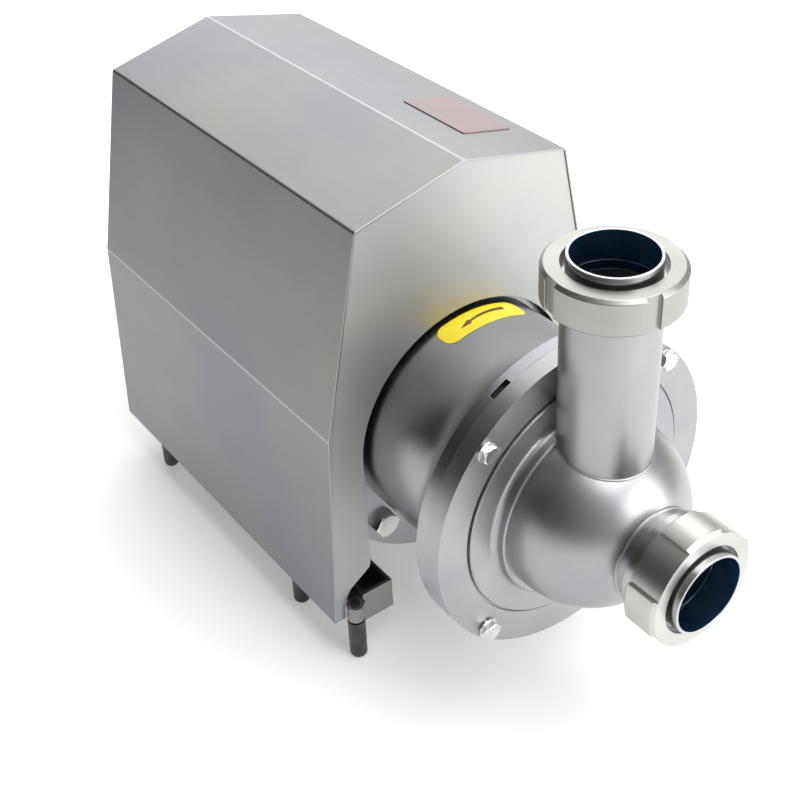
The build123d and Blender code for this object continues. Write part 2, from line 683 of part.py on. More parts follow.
def make_drive_end_shield():
    """Return the flanged front shield with its spigot and bearing seat."""
    bearing_end = FRONT_BEARING_Y + BEARING_WIDTH
    boss = BEARING_OUTER + BEARING_BOSS_WALL
    shield = turned([
        (SHAFT_SEAT_RADIUS + BOLT_HOLE_FIT, MOTOR_FACE_Y - SPIGOT_DEPTH),
        (SPIGOT_RADIUS, MOTOR_FACE_Y - SPIGOT_DEPTH),
        (SPIGOT_RADIUS, MOTOR_FACE_Y), (MOTOR_FLANGE_RADIUS, MOTOR_FACE_Y),
        (MOTOR_FLANGE_RADIUS, MOTOR_FLANGE_REAR_Y), (SHIELD_RADIUS, MOTOR_FLANGE_REAR_Y),
        (SHIELD_RADIUS, FRAME_FRONT_Y), (FRAME_BORE, FRAME_FRONT_Y),
        (FRAME_BORE, FRAME_FRONT_Y + SHIELD_LIP), (FRAME_BORE - SHIELD_LIP, FRAME_FRONT_Y + SHIELD_LIP),
        (FRAME_BORE - SHIELD_LIP, MOTOR_FLANGE_REAR_Y + SHIELD_WEB),
        (boss, MOTOR_FLANGE_REAR_Y + SHIELD_WEB), (boss, bearing_end + BEARING_SHOULDER),
        (BEARING_OUTER, bearing_end + BEARING_SHOULDER), (BEARING_OUTER, FRONT_BEARING_Y),
        (SHAFT_SEAT_RADIUS + BOLT_HOLE_FIT, FRONT_BEARING_Y),
    ])
    for angle in BOLT_ANGLES:
        x, z = polar(FLANGE_BOLT_CIRCLE, angle)
        shield -= rod(FLANGE_BOLT_RADIUS + BOLT_HOLE_FIT, MOTOR_FACE_Y, MOTOR_FLANGE_REAR_Y, x, z)
    for angle in TIE_BOLT_ANGLES:
        x, z = polar(TIE_BOLT_CIRCLE, angle)
        shield -= rod(TIE_BOLT_RADIUS + THREAD_FIT, FRAME_FRONT_Y - TIE_BOLT_THREAD, FRAME_FRONT_Y, x, z)
    return shield


def make_rear_shield():
    """Return the rear shield with its bearing seat."""
    boss = BEARING_OUTER + BEARING_BOSS_WALL
    seat_end = REAR_BEARING_Y + BEARING_WIDTH
    web = SHIELD_REAR_Y - SHIELD_WEB
    lip = FRAME_BORE - SHIELD_LIP
    shield = turned([
        (BEARING_OUTER, REAR_BEARING_Y - BEARING_SHOULDER), (boss, REAR_BEARING_Y - BEARING_SHOULDER),
        (boss, web), (lip, web), (lip, FRAME_REAR_Y - SHIELD_LIP), (FRAME_BORE, FRAME_REAR_Y - SHIELD_LIP),
        (FRAME_BORE, FRAME_REAR_Y), (SHIELD_RADIUS, FRAME_REAR_Y), (SHIELD_RADIUS, SHIELD_REAR_Y),
        (boss, SHIELD_REAR_Y), (boss, seat_end + BEARING_BOSS_WALL),
        (FAN_SEAT_RADIUS + BOLT_HOLE_FIT, seat_end + BEARING_BOSS_WALL),
        (FAN_SEAT_RADIUS + BOLT_HOLE_FIT, seat_end), (BEARING_OUTER, seat_end),
    ])
    for angle in TIE_BOLT_ANGLES:
        x, z = polar(TIE_BOLT_CIRCLE, angle)
        shield -= rod(TIE_BOLT_RADIUS + BOLT_HOLE_FIT, FRAME_REAR_Y, SHIELD_REAR_Y, x, z)
    return shield


def make_tie_bolts():
    pieces = []
    for angle in TIE_BOLT_ANGLES:
        x, z = polar(TIE_BOLT_CIRCLE, angle)
        head = rod(TIE_BOLT_HEAD_RADIUS, SHIELD_REAR_Y, SHIELD_REAR_Y + TIE_BOLT_HEAD, x, z)
        pieces.append(head + rod(TIE_BOLT_RADIUS, FRAME_FRONT_Y - TIE_BOLT_THREAD, SHIELD_REAR_Y, x, z))
    return group(pieces)


def stator_slot_bar(start, end):
    """Return the conductors of one slot, at the top."""
    half = STATOR_SLOT_WIDTH / 2
    return block((-half, half), (start, end), (STATOR_SLOT_INNER, STATOR_SLOT_OUTER))


def make_stator_core():
    core = ring(FRAME_BORE, STATOR_BORE_RADIUS, CORE_FRONT_Y, CORE_REAR_Y)
    slot = stator_slot_bar(CORE_FRONT_Y, CORE_REAR_Y)
    return core - [turn(360 / STATOR_SLOTS * i, slot) for i in range(STATOR_SLOTS)]


def make_stator_windings():
    """Return the copper: a bar in each slot and a bundle at each end."""
    front = ring(WINDING_OUTER, WINDING_INNER, CORE_FRONT_Y - WINDING_END_LENGTH, CORE_FRONT_Y)
    rear = ring(WINDING_OUTER, WINDING_INNER, CORE_REAR_Y, CORE_REAR_Y + WINDING_END_LENGTH)
    bar = stator_slot_bar(CORE_FRONT_Y, CORE_REAR_Y)
    return front + rear + [turn(360 / STATOR_SLOTS * i, bar) for i in range(STATOR_SLOTS)]


def rotor_bars(radius):
    """Return the round bars of the rotor's cage."""
    bars = []
    for i in range(ROTOR_BARS):
        x, z = polar(ROTOR_BAR_CIRCLE, 360 / ROTOR_BARS * i)
        bars.append(rod(radius, CORE_FRONT_Y, CORE_REAR_Y, x, z))
    return bars


def make_rotor_core():
    return ring(ROTOR_RADIUS, SHAFT_CORE_RADIUS, CORE_FRONT_Y, CORE_REAR_Y) - rotor_bars(ROTOR_BAR_RADIUS)


def make_rotor_cage():
    outer = ROTOR_RADIUS - CAGE_RING_STEP
    inner = outer - CAGE_RING_WIDTH
    front = ring(outer, inner, CORE_FRONT_Y - CAGE_RING_LENGTH, CORE_FRONT_Y)
    rear = ring(outer, inner, CORE_REAR_Y, CORE_REAR_Y + CAGE_RING_LENGTH)
    return front + rear + rotor_bars(ROTOR_BAR_RADIUS)


def make_motor_shaft():
    """Return the stepped shaft, from its drive end to the fan seat."""
    drive_end = MOTOR_FACE_Y - SHAFT_END_LENGTH
    front_shoulder = FRONT_BEARING_Y + BEARING_WIDTH
    fan_seat = REAR_BEARING_Y + BEARING_WIDTH
    shaft = turned([
        (0, drive_end), (SHAFT_END_RADIUS, drive_end), (SHAFT_END_RADIUS, FRONT_BEARING_Y),
        (SHAFT_SEAT_RADIUS, FRONT_BEARING_Y), (SHAFT_SEAT_RADIUS, front_shoulder),
        (SHAFT_CORE_RADIUS, front_shoulder), (SHAFT_CORE_RADIUS, REAR_BEARING_Y),
        (SHAFT_SEAT_RADIUS, REAR_BEARING_Y), (SHAFT_SEAT_RADIUS, fan_seat),
        (FAN_SEAT_RADIUS, fan_seat), (FAN_SEAT_RADIUS, FAN_FRONT_Y + FAN_WIDTH),
        (0, FAN_FRONT_Y + FAN_WIDTH),
    ])
    return shaft - motor_key()


def bearing_starts():
    return (FRONT_BEARING_Y, REAR_BEARING_Y)


def ball_track(start):
    """Return the torus that the balls of one bearing run in."""
    pitch = (BEARING_OUTER + SHAFT_SEAT_RADIUS) / 2
    track = Torus(pitch, BALL_RADIUS + BALL_FIT)
    return Pos(0, start + BEARING_WIDTH / 2, 0) * Rot(90, 0, 0) * track


def make_bearing_inner_rings():
    inner = SHAFT_SEAT_RADIUS
    return group([ring(inner + BEARING_RING_WALL, inner, y, y + BEARING_WIDTH) - ball_track(y)
                  for y in bearing_starts()])


def make_bearing_outer_rings():
    outer = BEARING_OUTER
    return group([ring(outer, outer - BEARING_RING_WALL, y, y + BEARING_WIDTH) - ball_track(y)
                  for y in bearing_starts()])


def ball_places(start):
    """Return where the balls of one bearing are."""
    pitch = (BEARING_OUTER + SHAFT_SEAT_RADIUS) / 2
    places = []
    for i in range(BALLS):
        x, z = polar(pitch, 360 / BALLS * i)
        places.append(Pos(x, start + BEARING_WIDTH / 2, z))
    return places


def make_bearing_balls():
    return group([place * Sphere(BALL_RADIUS) for y in bearing_starts() for place in ball_places(y)])


def make_bearing_cages():
    """Return the rings that keep the balls apart."""
    pitch = (BEARING_OUTER + SHAFT_SEAT_RADIUS) / 2
    cages = []
    for y in bearing_starts():
        middle = y + BEARING_WIDTH / 2
        cage = ring(pitch + CAGE_WALL / 2, pitch - CAGE_WALL / 2, middle - CAGE_WIDTH / 2,
                    middle + CAGE_WIDTH / 2)
        cage -= [place * Sphere(BALL_RADIUS + CAGE_POCKET_FIT) for place in ball_places(y)]
        cages.append(cage)
    return group(cages)


def make_fan():
    """Return the cooling fan with straight blades on a disc."""
    hub = FAN_SEAT_RADIUS + FAN_HUB_WALL
    rear = FAN_FRONT_Y + FAN_WIDTH
    half = FAN_BLADE_THICKNESS / 2
    fan = rod(hub, FAN_FRONT_Y, rear) + rod(FAN_RADIUS, rear - FAN_DISC, rear)
    blade = block((-half, half), (FAN_FRONT_Y, rear), (FAN_SEAT_RADIUS + half, FAN_RADIUS - half))
    fan += [turn(360 / FAN_BLADES * i, blade) for i in range(FAN_BLADES)]
    return fan - rod(FAN_SEAT_RADIUS, FAN_FRONT_Y, rear)


def make_fan_cover():
    """Return the sheet cup over the fan, with a ring of slots in its rear face."""
    outer = SHIELD_RADIUS + FAN_COVER_SHEET
    cup = rod(outer, FAN_COVER_FRONT_Y, FAN_COVER_REAR_Y)
    cup -= rod(SHIELD_RADIUS, FAN_COVER_FRONT_Y, FAN_COVER_REAR_Y - FAN_COVER_SHEET)
    half = GRILLE_SLOT_WIDTH / 2
    slot = block((-half, half), (FAN_COVER_REAR_Y - FAN_COVER_SHEET, FAN_COVER_REAR_Y),
                 (GRILLE_INNER, GRILLE_OUTER))
    return cup - [turn(360 / GRILLE_SLOTS * i, slot) for i in range(GRILLE_SLOTS)]


def box_y_span(inset=0.0):
    return BOX_CENTRE_Y - BOX_LENGTH / 2 + inset, BOX_CENTRE_Y + BOX_LENGTH / 2 - inset


def lid_screw_places():
    """Return the corners where screws hold the terminal box's lid."""
    inset = BOX_WALL + LID_POST_RADIUS - LID_POST_SINK
    x = BOX_HALF_WIDTH - inset
    low, high = box_y_span(inset)
    return [(-x, low), (x, low), (-x, high), (x, high)]


def gland_z():
    return SADDLE_Z + BOX_HEIGHT / 2


def make_terminal_box():
    """Return the open box on the saddle, with a threaded hole on its right side."""
    top = SADDLE_Z + BOX_HEIGHT
    inner = BOX_HALF_WIDTH - BOX_WALL
    box = block((-BOX_HALF_WIDTH, BOX_HALF_WIDTH), box_y_span(), (SADDLE_Z, top))
    box -= block((-inner, inner), box_y_span(BOX_WALL), (SADDLE_Z + BOX_WALL, top))
    for x, y in lid_screw_places():
        box += post(LID_POST_RADIUS, SADDLE_Z + BOX_WALL, top, x, y)
        box -= post(LID_SCREW_RADIUS + THREAD_FIT, top - LID_SCREW_DEPTH, top, x, y)
    hole = Rot(0, 90, 0) * post(GLAND_THREAD_RADIUS + THREAD_FIT, inner, BOX_HALF_WIDTH)
    return box - Pos(0, BOX_CENTRE_Y, gland_z()) * hole


def make_terminal_box_lid():
    top = SADDLE_Z + BOX_HEIGHT
    lid = block((-BOX_HALF_WIDTH, BOX_HALF_WIDTH), box_y_span(), (top, top + LID_THICKNESS))
    for x, y in lid_screw_places():
        lid -= post(LID_SCREW_RADIUS + BOLT_HOLE_FIT, top, top + LID_THICKNESS, x, y)
    return lid


def make_terminal_box_screws():
    top = SADDLE_Z + BOX_HEIGHT
    lid_top = top + LID_THICKNESS
    pieces = []
    for x, y in lid_screw_places():
        head = post(LID_SCREW_HEAD_RADIUS, lid_top, lid_top + LID_SCREW_HEAD, x, y)
        pieces.append(head + post(LID_SCREW_RADIUS, top - LID_SCREW_DEPTH, lid_top, x, y))
    return group(pieces)


def make_terminal_block():
    """Return the moulded block with its six studs."""
    floor = SADDLE_Z + BOX_WALL
    top = floor + TERMINAL_BLOCK_HEIGHT
    half = TERMINAL_BLOCK_LENGTH / 2
    base = block((-TERMINAL_BLOCK_HALF_WIDTH, TERMINAL_BLOCK_HALF_WIDTH),
                 (BOX_CENTRE_Y - half, BOX_CENTRE_Y + half), (floor, top))
    for i in (-1, 0, 1):
        for side in (-0.5, 0.5):
            base += post(TERMINAL_STUD_RADIUS, top, top + TERMINAL_STUD_HEIGHT, i * TERMINAL_STUD_PITCH,
                         BOX_CENTRE_Y + side * TERMINAL_STUD_PITCH)
    return base


def make_cable_gland():
    """Return the empty gland in the side of the terminal box."""
    gland = post(GLAND_THREAD_RADIUS, -GLAND_THREAD_LENGTH, 0)
    gland += extrude(RegularPolygon(GLAND_HEX / 2, 6, major_radius=False), amount=GLAND_HEX_LENGTH)
    end = GLAND_HEX_LENGTH + GLAND_CAP_LENGTH
    gland += post(GLAND_CAP_RADIUS, GLAND_HEX_LENGTH, end)
    gland -= post(GLAND_BORE_RADIUS, -GLAND_THREAD_LENGTH, end)
    return Pos(BOX_HALF_WIDTH, BOX_CENTRE_Y, gland_z()) * Rot(0, 90, 0) * gland


# Lantern

def make_lantern():
    """Return the drum between the motor and the casing."""
    inner = DRUM_RADIUS - DRUM_WALL
    rear = MOTOR_FACE_Y
    seat = SPIGOT_RADIUS + SHAFT_FIT
    recess = BACK_PLATE_RADIUS + BACK_PLATE_FIT
    web_rear = BACK_PLATE_REAR_Y + RIM_WEB
    outside = Polyline(
        (inner, rear - SPIGOT_DEPTH), (seat, rear - SPIGOT_DEPTH), (seat, rear), (MOTOR_FLANGE_RADIUS, rear),
        (MOTOR_FLANGE_RADIUS, rear - LANTERN_REAR_FLANGE), (DRUM_RADIUS, rear - LANTERN_REAR_FLANGE),
        (DRUM_RADIUS, DRUM_FRONT_Y))
    flare = TangentArc((DRUM_RADIUS, DRUM_FRONT_Y), (RIM_RADIUS, FLARE_START_Y), tangent=(0, -1))
    front = Polyline(
        (RIM_RADIUS, FLARE_START_Y), (RIM_RADIUS, RIM_FACE_Y), (recess, RIM_FACE_Y),
        (recess, BACK_PLATE_REAR_Y), (RIM_WEB_INNER, BACK_PLATE_REAR_Y), (RIM_WEB_INNER, web_rear),
        (inner, DRUM_FRONT_Y), (inner, rear - SPIGOT_DEPTH))
    lantern = turned_lines(outside + flare + front)
    for angle in BOLT_ANGLES:
        x, z = polar(FLANGE_BOLT_CIRCLE, angle)
        lantern -= rod(FLANGE_BOLT_RADIUS + BOLT_HOLE_FIT, rear - LANTERN_REAR_FLANGE, rear, x, z)
        x, z = polar(CASING_BOLT_CIRCLE, angle)
        lantern -= rod(CASING_BOLT_RADIUS + THREAD_FIT, RIM_FACE_Y, RIM_FACE_Y + CASING_BOLT_THREAD, x, z)
    half = PRY_SLOT_WIDTH / 2
    slot = block((-half, half), (RIM_FACE_Y, RIM_FACE_Y + PRY_SLOT_DEPTH), (PRY_SLOT_INNER, 2 * RIM_RADIUS))
    return lantern - turn(PRY_SLOT_ANGLE, slot)


def make_lantern_bolts():
    """Return the bolts and nuts that join the lantern to the motor's flange."""
    head_rear = MOTOR_FACE_Y - LANTERN_REAR_FLANGE
    nut_rear = MOTOR_FLANGE_REAR_Y + FLANGE_BOLT_NUT
    pieces = []
    for angle in BOLT_ANGLES:
        x, z = polar(FLANGE_BOLT_CIRCLE, angle)
        head = hexagon(FLANGE_BOLT_FLATS, head_rear - FLANGE_BOLT_HEAD, head_rear, x, z)
        pieces.append(head + rod(FLANGE_BOLT_RADIUS, head_rear, nut_rear + FLANGE_BOLT_PROUD, x, z))
        nut = hexagon(FLANGE_BOLT_FLATS, MOTOR_FLANGE_REAR_Y, nut_rear, x, z)
        pieces.append(nut - rod(FLANGE_BOLT_RADIUS + THREAD_FIT, MOTOR_FLANGE_REAR_Y, nut_rear, x, z))
    return group(pieces)


def make_rotation_label():
    """Return the label that lies on the top of the drum."""
    start = LABEL_REAR_Y - LABEL_WIDTH
    inner = DRUM_RADIUS + LABEL_GLUE
    skin = ring(inner + LABEL_THICKNESS, inner, start, LABEL_REAR_Y)
    reach = 2 * DRUM_RADIUS
    corners = [(0, 0), (reach * sin(radians(LABEL_START_ANGLE)), reach * cos(radians(LABEL_START_ANGLE))),
               (reach * sin(radians(LABEL_END_ANGLE)), reach * cos(radians(LABEL_END_ANGLE)))]
    return skin & plate(make_face(Polyline(*corners, close=True)), start, LABEL_REAR_Y)


# Wet end

def make_back_plate():
    """Return the plate behind the impeller, with the seal's housing and the ring seal's groove."""
    housing = SEAT_RADIUS + SEAT_HOUSING_WALL
    seat_end = BACK_PLATE_REAR_Y + SEAT_HOUSING_LENGTH
    recess = BACK_PLATE_REAR_Y + SEAT_RECESS
    back = turned([
        (SEAT_BORE + BOLT_HOLE_FIT, RIM_FACE_Y), (BACK_PLATE_RADIUS, RIM_FACE_Y),
        (BACK_PLATE_RADIUS, BACK_PLATE_REAR_Y), (housing, BACK_PLATE_REAR_Y), (housing, seat_end),
        (SEAT_RADIUS, seat_end), (SEAT_RADIUS, recess), (SEAT_BORE + BOLT_HOLE_FIT, recess),
    ])
    half = RING_SEAL_SECTION + RING_GROOVE_FIT
    groove_end = RIM_FACE_Y + 2 * RING_SEAL_SECTION
    return back - ring(RING_SEAL_RADIUS + half, RING_SEAL_RADIUS - half, RIM_FACE_Y, groove_end)


def make_ring_seal():
    seal = Torus(RING_SEAL_RADIUS, RING_SEAL_SECTION)
    return Pos(0, RIM_FACE_Y + RING_SEAL_SECTION, 0) * Rot(90, 0, 0) * seal


def bulb_y(radius, ball):
    """Return where a ball about the bulb's centre reaches a radius in front of that centre."""
    return BULB_CENTRE_Y - sqrt(ball ** 2 - radius ** 2)


def casing_outside():
    """Return the outer shape of the cover, from the flange to the neck."""
    groove_out = COVER_GROOVE_RADIUS + COVER_GROOVE_HALF
    groove_in = COVER_GROOVE_RADIUS - COVER_GROOVE_HALF
    groove_y = COVER_FACE_Y + COVER_GROOVE_DEPTH
    disc = COVER_DISC_RADIUS - COVER_DISC_EDGE
    ledge = sqrt(BULB_RADIUS ** 2 - (STEP_CREST_Y - BULB_CENTRE_Y) ** 2)
    neck_y = bulb_y(NECK_RADIUS, BULB_RADIUS)
    arc = radians(BULB_ARC_ANGLE)
    middle = (BULB_RADIUS * cos(arc), BULB_CENTRE_Y - BULB_RADIUS * sin(arc))
    weld_y = neck_y - NECK_WELD_LENGTH
    flange = Polyline(
        (0, RIM_FACE_Y), (RIM_RADIUS, RIM_FACE_Y), (RIM_RADIUS, COVER_FACE_Y), (groove_out, COVER_FACE_Y),
        (groove_out, groove_y), (groove_in, groove_y), (COVER_DISC_RADIUS, COVER_DISC_Y + COVER_DISC_EDGE),
        (disc, COVER_DISC_Y), (STEP_RADIUS + STEP_FILLET, COVER_DISC_Y))
    hollow = TangentArc((STEP_RADIUS + STEP_FILLET, COVER_DISC_Y), (STEP_RADIUS, COVER_DISC_Y - STEP_FILLET),
                        tangent=(-1, 0))
    crest = Polyline(
        (STEP_RADIUS, COVER_DISC_Y - STEP_FILLET), (STEP_RADIUS, STEP_CREST_Y + STEP_CREST_EDGE),
        (STEP_RADIUS - STEP_CREST_EDGE, STEP_CREST_Y), (ledge, STEP_CREST_Y), (BULB_RADIUS, BULB_CENTRE_Y))
    bulb = ThreePointArc((BULB_RADIUS, BULB_CENTRE_Y), middle, (NECK_RADIUS, neck_y))
    neck = Polyline(
        (NECK_RADIUS, neck_y), (NECK_WELD_RADIUS, neck_y - NECK_WELD_LENGTH / 2),
        (NECK_RADIUS, weld_y), (NECK_RADIUS, NECK_END_Y), (0, NECK_END_Y), (0, RIM_FACE_Y))
    return turned_lines(flange + hollow + crest + bulb + neck)


def casing_inside():
    """Return the wet space: the impeller's chamber and the bulb."""
    ball = BULB_RADIUS - COVER_WALL
    neck_y = bulb_y(SUCTION_RADIUS, ball)
    arc = radians(BULB_ARC_ANGLE)
    middle = (ball * cos(arc), BULB_CENTRE_Y - ball * sin(arc))
    chamber = Polyline(
        (0, RIM_FACE_Y), (CHAMBER_RADIUS, RIM_FACE_Y), (CHAMBER_RADIUS, CHAMBER_FACE_Y),
        (IMPELLER_RADIUS + CHAMBER_LIP, CHAMBER_FACE_Y), (ball, CHAMBER_FACE_Y - STEP_FILLET),
        (ball, BULB_CENTRE_Y))
    bulb = ThreePointArc((ball, BULB_CENTRE_Y), middle, (SUCTION_RADIUS, neck_y))
    neck = Polyline((SUCTION_RADIUS, neck_y), (SUCTION_RADIUS, NECK_END_Y), (0, NECK_END_Y), (0, RIM_FACE_Y))
    return turned_lines(chamber + bulb + neck)


def make_casing_cover():
    """Return the flange, bulb, neck and delivery pipe, welded to one piece."""
    cover = casing_outside() + post(PIPE_RADIUS, 0, PIPE_TOP_Z, 0, OUTLET_Y)
    cover -= casing_inside()
    cover -= post(UNION_BORE, BULB_RADIUS / 2, PIPE_TOP_Z, 0, OUTLET_Y)
    for angle in BOLT_ANGLES:
        x, z = polar(CASING_BOLT_CIRCLE, angle)
        cover -= rod(CASING_BOLT_RADIUS + BOLT_HOLE_FIT, COVER_FACE_Y, RIM_FACE_Y, x, z)
    return cover


def make_casing_bolts():
    """Return the bolts of the cover's flange, each with its washer."""
    head_rear = COVER_FACE_Y - CASING_WASHER
    pieces = []
    for angle in BOLT_ANGLES:
        x, z = polar(CASING_BOLT_CIRCLE, angle)
        head = hexagon(CASING_BOLT_FLATS, head_rear - CASING_BOLT_HEAD, head_rear, x, z)
        pieces.append(head + rod(CASING_BOLT_RADIUS, head_rear, RIM_FACE_Y + CASING_BOLT_THREAD, x, z))
        washer = rod(CASING_WASHER_RADIUS, head_rear, COVER_FACE_Y, x, z)
        pieces.append(washer - rod(CASING_BOLT_RADIUS + THREAD_FIT, head_rear, COVER_FACE_Y, x, z))
    return group(pieces)


def make_suction_tube():
    """Return the tube from the suction union to the impeller's eye, with its guide plate."""
    plate_rear = CHAMBER_FACE_Y
    tube = ring(SUCTION_RADIUS, UNION_BORE, SUCTION_END_Y, plate_rear)
    return tube + ring(SUCTION_PLATE_RADIUS, UNION_BORE, plate_rear - SUCTION_PLATE, plate_rear)


def at_inlet(piece):
    """Move a union piece, drawn upright on its seat, to the suction port."""
    return Pos(0, INLET_SEAT_Y, 0) * Rot(90, 0, 0) * piece


def at_outlet(piece):
    """Move a union piece, drawn upright on its seat, to the delivery port."""
    return Pos(0, OUTLET_Y, OUTLET_SEAT_Z) * piece


def union_gasket():
    return post(UNION_COLLAR_RADIUS, 0, UNION_GASKET) - post(UNION_BORE, 0, UNION_GASKET)


def union_liner():
    """Return the loose tube end with the collar that the nut pulls on."""
    bore = UNION_TUBE_RADIUS - UNION_TUBE_WALL
    return turned_upright([
        (bore, UNION_GASKET), (UNION_COLLAR_RADIUS, UNION_GASKET), (UNION_COLLAR_RADIUS, UNION_COLLAR_TOP),
        (UNION_TUBE_RADIUS, UNION_COLLAR_TOP), (UNION_TUBE_RADIUS, UNION_TUBE_REACH),
        (bore, UNION_TUBE_REACH),
    ])


def union_nut():
    """Return the round nut, before its recesses are cut."""
    thread = UNION_THREAD_RADIUS + THREAD_FIT
    shoulder = UNION_COLLAR_TOP + THREAD_FIT
    return turned_upright([
        (thread, -NUT_OVERLAP), (NUT_RADIUS - NUT_BACK_BEVEL, -NUT_OVERLAP),
        (NUT_RADIUS, NUT_BACK_BEVEL - NUT_OVERLAP), (NUT_RADIUS, NUT_TOP - NUT_BEVEL),
        (NUT_RADIUS - NUT_BEVEL, NUT_TOP), (NUT_HOLE, NUT_TOP), (NUT_HOLE, shoulder), (thread, shoulder),
    ])


def cut_recesses(nut, outline, first_angle):
    """Cut an outline into the nut's rim, at its angle from +Y towards +X and evenly round."""
    height = Pos(0, 0, -NUT_OVERLAP) * extrude(outline, amount=NUT_HEIGHT)
    recess = height - post(NUT_RADIUS - RECESS_DEPTH, -NUT_OVERLAP, NUT_TOP)
    for i in range(RECESSES):
        nut -= Rot(0, 0, -first_angle - 360 / RECESSES * i) * recess
    return nut


def make_inlet_nut():
    """Return the suction nut, with wide recesses for a hook wrench."""
    reach = 2 * NUT_RADIUS
    half = radians(INLET_RECESS_ARC / 2)
    corners = [(0, 0), (-reach * sin(half), reach * cos(half)), (reach * sin(half), reach * cos(half))]
    wedge = make_face(Polyline(*corners, close=True))
    return at_inlet(cut_recesses(union_nut(), wedge, INLET_RECESS_ANGLE))


def make_outlet_nut():
    """Return the delivery nut, with narrow recesses for a hook wrench."""
    slot = Rectangle(OUTLET_RECESS_WIDTH, 2 * NUT_RADIUS, align=(Align.CENTER, Align.MIN))
    return at_outlet(cut_recesses(union_nut(), slot, OUTLET_RECESS_ANGLE))


def make_inlet_male_end():
    """Return the threaded ring that is welded to the neck and the suction tube."""
    return turned([
        (SUCTION_RADIUS, NECK_END_Y), (UNION_THREAD_RADIUS, NECK_END_Y), (UNION_THREAD_RADIUS, INLET_SEAT_Y),
        (UNION_BORE, INLET_SEAT_Y), (UNION_BORE, SUCTION_END_Y), (SUCTION_RADIUS, SUCTION_END_Y),
    ])


def make_outlet_male_end():
    """Return the threaded ring that is welded to the delivery pipe."""
    male = post(UNION_THREAD_RADIUS, PIPE_TOP_Z, OUTLET_SEAT_Z, 0, OUTLET_Y)
    return male - post(UNION_BORE, PIPE_TOP_Z, OUTLET_SEAT_Z, 0, OUTLET_Y)


# Rotating pieces of the wet end

def motor_key():
    """Return the key between the motor's shaft end and the stub shaft."""
    start = MOTOR_FACE_Y - SHAFT_END_LENGTH + MOTOR_KEY_SETBACK
    low = SHAFT_END_RADIUS - MOTOR_KEY_DEPTH
    half = MOTOR_KEY_WIDTH / 2
    return block((-half, half), (start, start + MOTOR_KEY_LENGTH), (low, low + MOTOR_KEY_HEIGHT))


def impeller_key():
    """Return the key between the stub shaft's nose and the impeller."""
    start = STUB_NOSE_Y + (STUB_NOSE_LENGTH - IMPELLER_KEY_LENGTH) / 2
    low = STUB_NOSE_RADIUS - IMPELLER_KEY_DEPTH
    half = IMPELLER_KEY_WIDTH / 2
    return block((-half, half), (start, start + IMPELLER_KEY_LENGTH), (low, low + IMPELLER_KEY_HEIGHT))


def make_shaft_keys():
    return group([motor_key(), impeller_key()])


def make_stub_shaft():
    """Return the stainless shaft that slips over the motor's shaft end and carries the impeller."""
    bore_end = MOTOR_FACE_Y - SHAFT_END_LENGTH - STUB_BORE_SPARE
    thread_end = STUB_NOSE_Y - STUB_THREAD_LENGTH
    shaft = turned([
        (0, bore_end), (SHAFT_END_RADIUS, bore_end), (SHAFT_END_RADIUS, STUB_HUB_REAR_Y),
        (STUB_HUB_RADIUS, STUB_HUB_REAR_Y), (STUB_HUB_RADIUS, STUB_HUB_FRONT_Y),
        (STUB_RADIUS, STUB_HUB_FRONT_Y),
        (STUB_RADIUS, STUB_END_Y), (STUB_NOSE_RADIUS, STUB_END_Y), (STUB_NOSE_RADIUS, STUB_NOSE_Y),
        (STUB_THREAD_RADIUS, STUB_NOSE_Y), (STUB_THREAD_RADIUS, thread_end), (0, thread_end),
    ])
    return shaft - motor_key() - impeller_key()


def make_clamp_ring():
    """Return the slit ring that clamps the stub shaft on the motor's shaft end."""
    clamp = ring(CLAMP_RADIUS, STUB_HUB_RADIUS, CLAMP_REAR_Y - CLAMP_WIDTH, CLAMP_REAR_Y)
    half = CLAMP_SLIT / 2
    return clamp - block((-half, half), (CLAMP_REAR_Y - CLAMP_WIDTH, CLAMP_REAR_Y), (-2 * CLAMP_RADIUS, 0))


def blade_outline():
    """Return one swept blade, drawn in X and Z."""
    start = polar(IMPELLER_HUB_RADIUS - IMPELLER_BLADE_THICKNESS / 2, 0)
    middle = polar((IMPELLER_HUB_RADIUS + IMPELLER_RADIUS) / 2, IMPELLER_BLADE_MID_SWEEP)
    end = polar(IMPELLER_RADIUS - IMPELLER_BLADE_THICKNESS, IMPELLER_BLADE_SWEEP)
    return trace(ThreePointArc(start, middle, end), line_width=IMPELLER_BLADE_THICKNESS)


def make_impeller():
    """Return the open impeller with swept blades in front of its disc."""
    rear = RIM_FACE_Y
    disc_rear = rear - IMPELLER_GAP
    disc_front = disc_rear - IMPELLER_DISC
    blade_front = CHAMBER_FACE_Y + IMPELLER_GAP
    impeller = rod(STUB_RADIUS, disc_rear, rear) + rod(IMPELLER_RADIUS, disc_front, disc_rear)
    impeller += rod(IMPELLER_HUB_RADIUS, STUB_NOSE_Y, disc_front)
    blade = plate(blade_outline(), blade_front, disc_front)
    impeller += [turn(360 / IMPELLER_BLADES * i, blade) for i in range(IMPELLER_BLADES)]
    return impeller - rod(STUB_NOSE_RADIUS, STUB_NOSE_Y, rear) - impeller_key()


def make_impeller_nut():
    """Return the domed nut on the end of the stub shaft."""
    front = STUB_NOSE_Y - IMPELLER_NUT_LENGTH
    nut = rod(IMPELLER_NUT_RADIUS, front, STUB_NOSE_Y)
    nut = fillet(nut.edges().sort_by(Axis.Y)[0], IMPELLER_NUT_ROUND)
    return nut - rod(STUB_THREAD_RADIUS, STUB_NOSE_Y - STUB_THREAD_LENGTH, STUB_NOSE_Y)


def seat_front():
    return BACK_PLATE_REAR_Y + SEAT_RECESS


def make_seal_seat():
    return ring(SEAT_RADIUS, SEAT_BORE, seat_front(), seat_front() + SEAT_LENGTH)


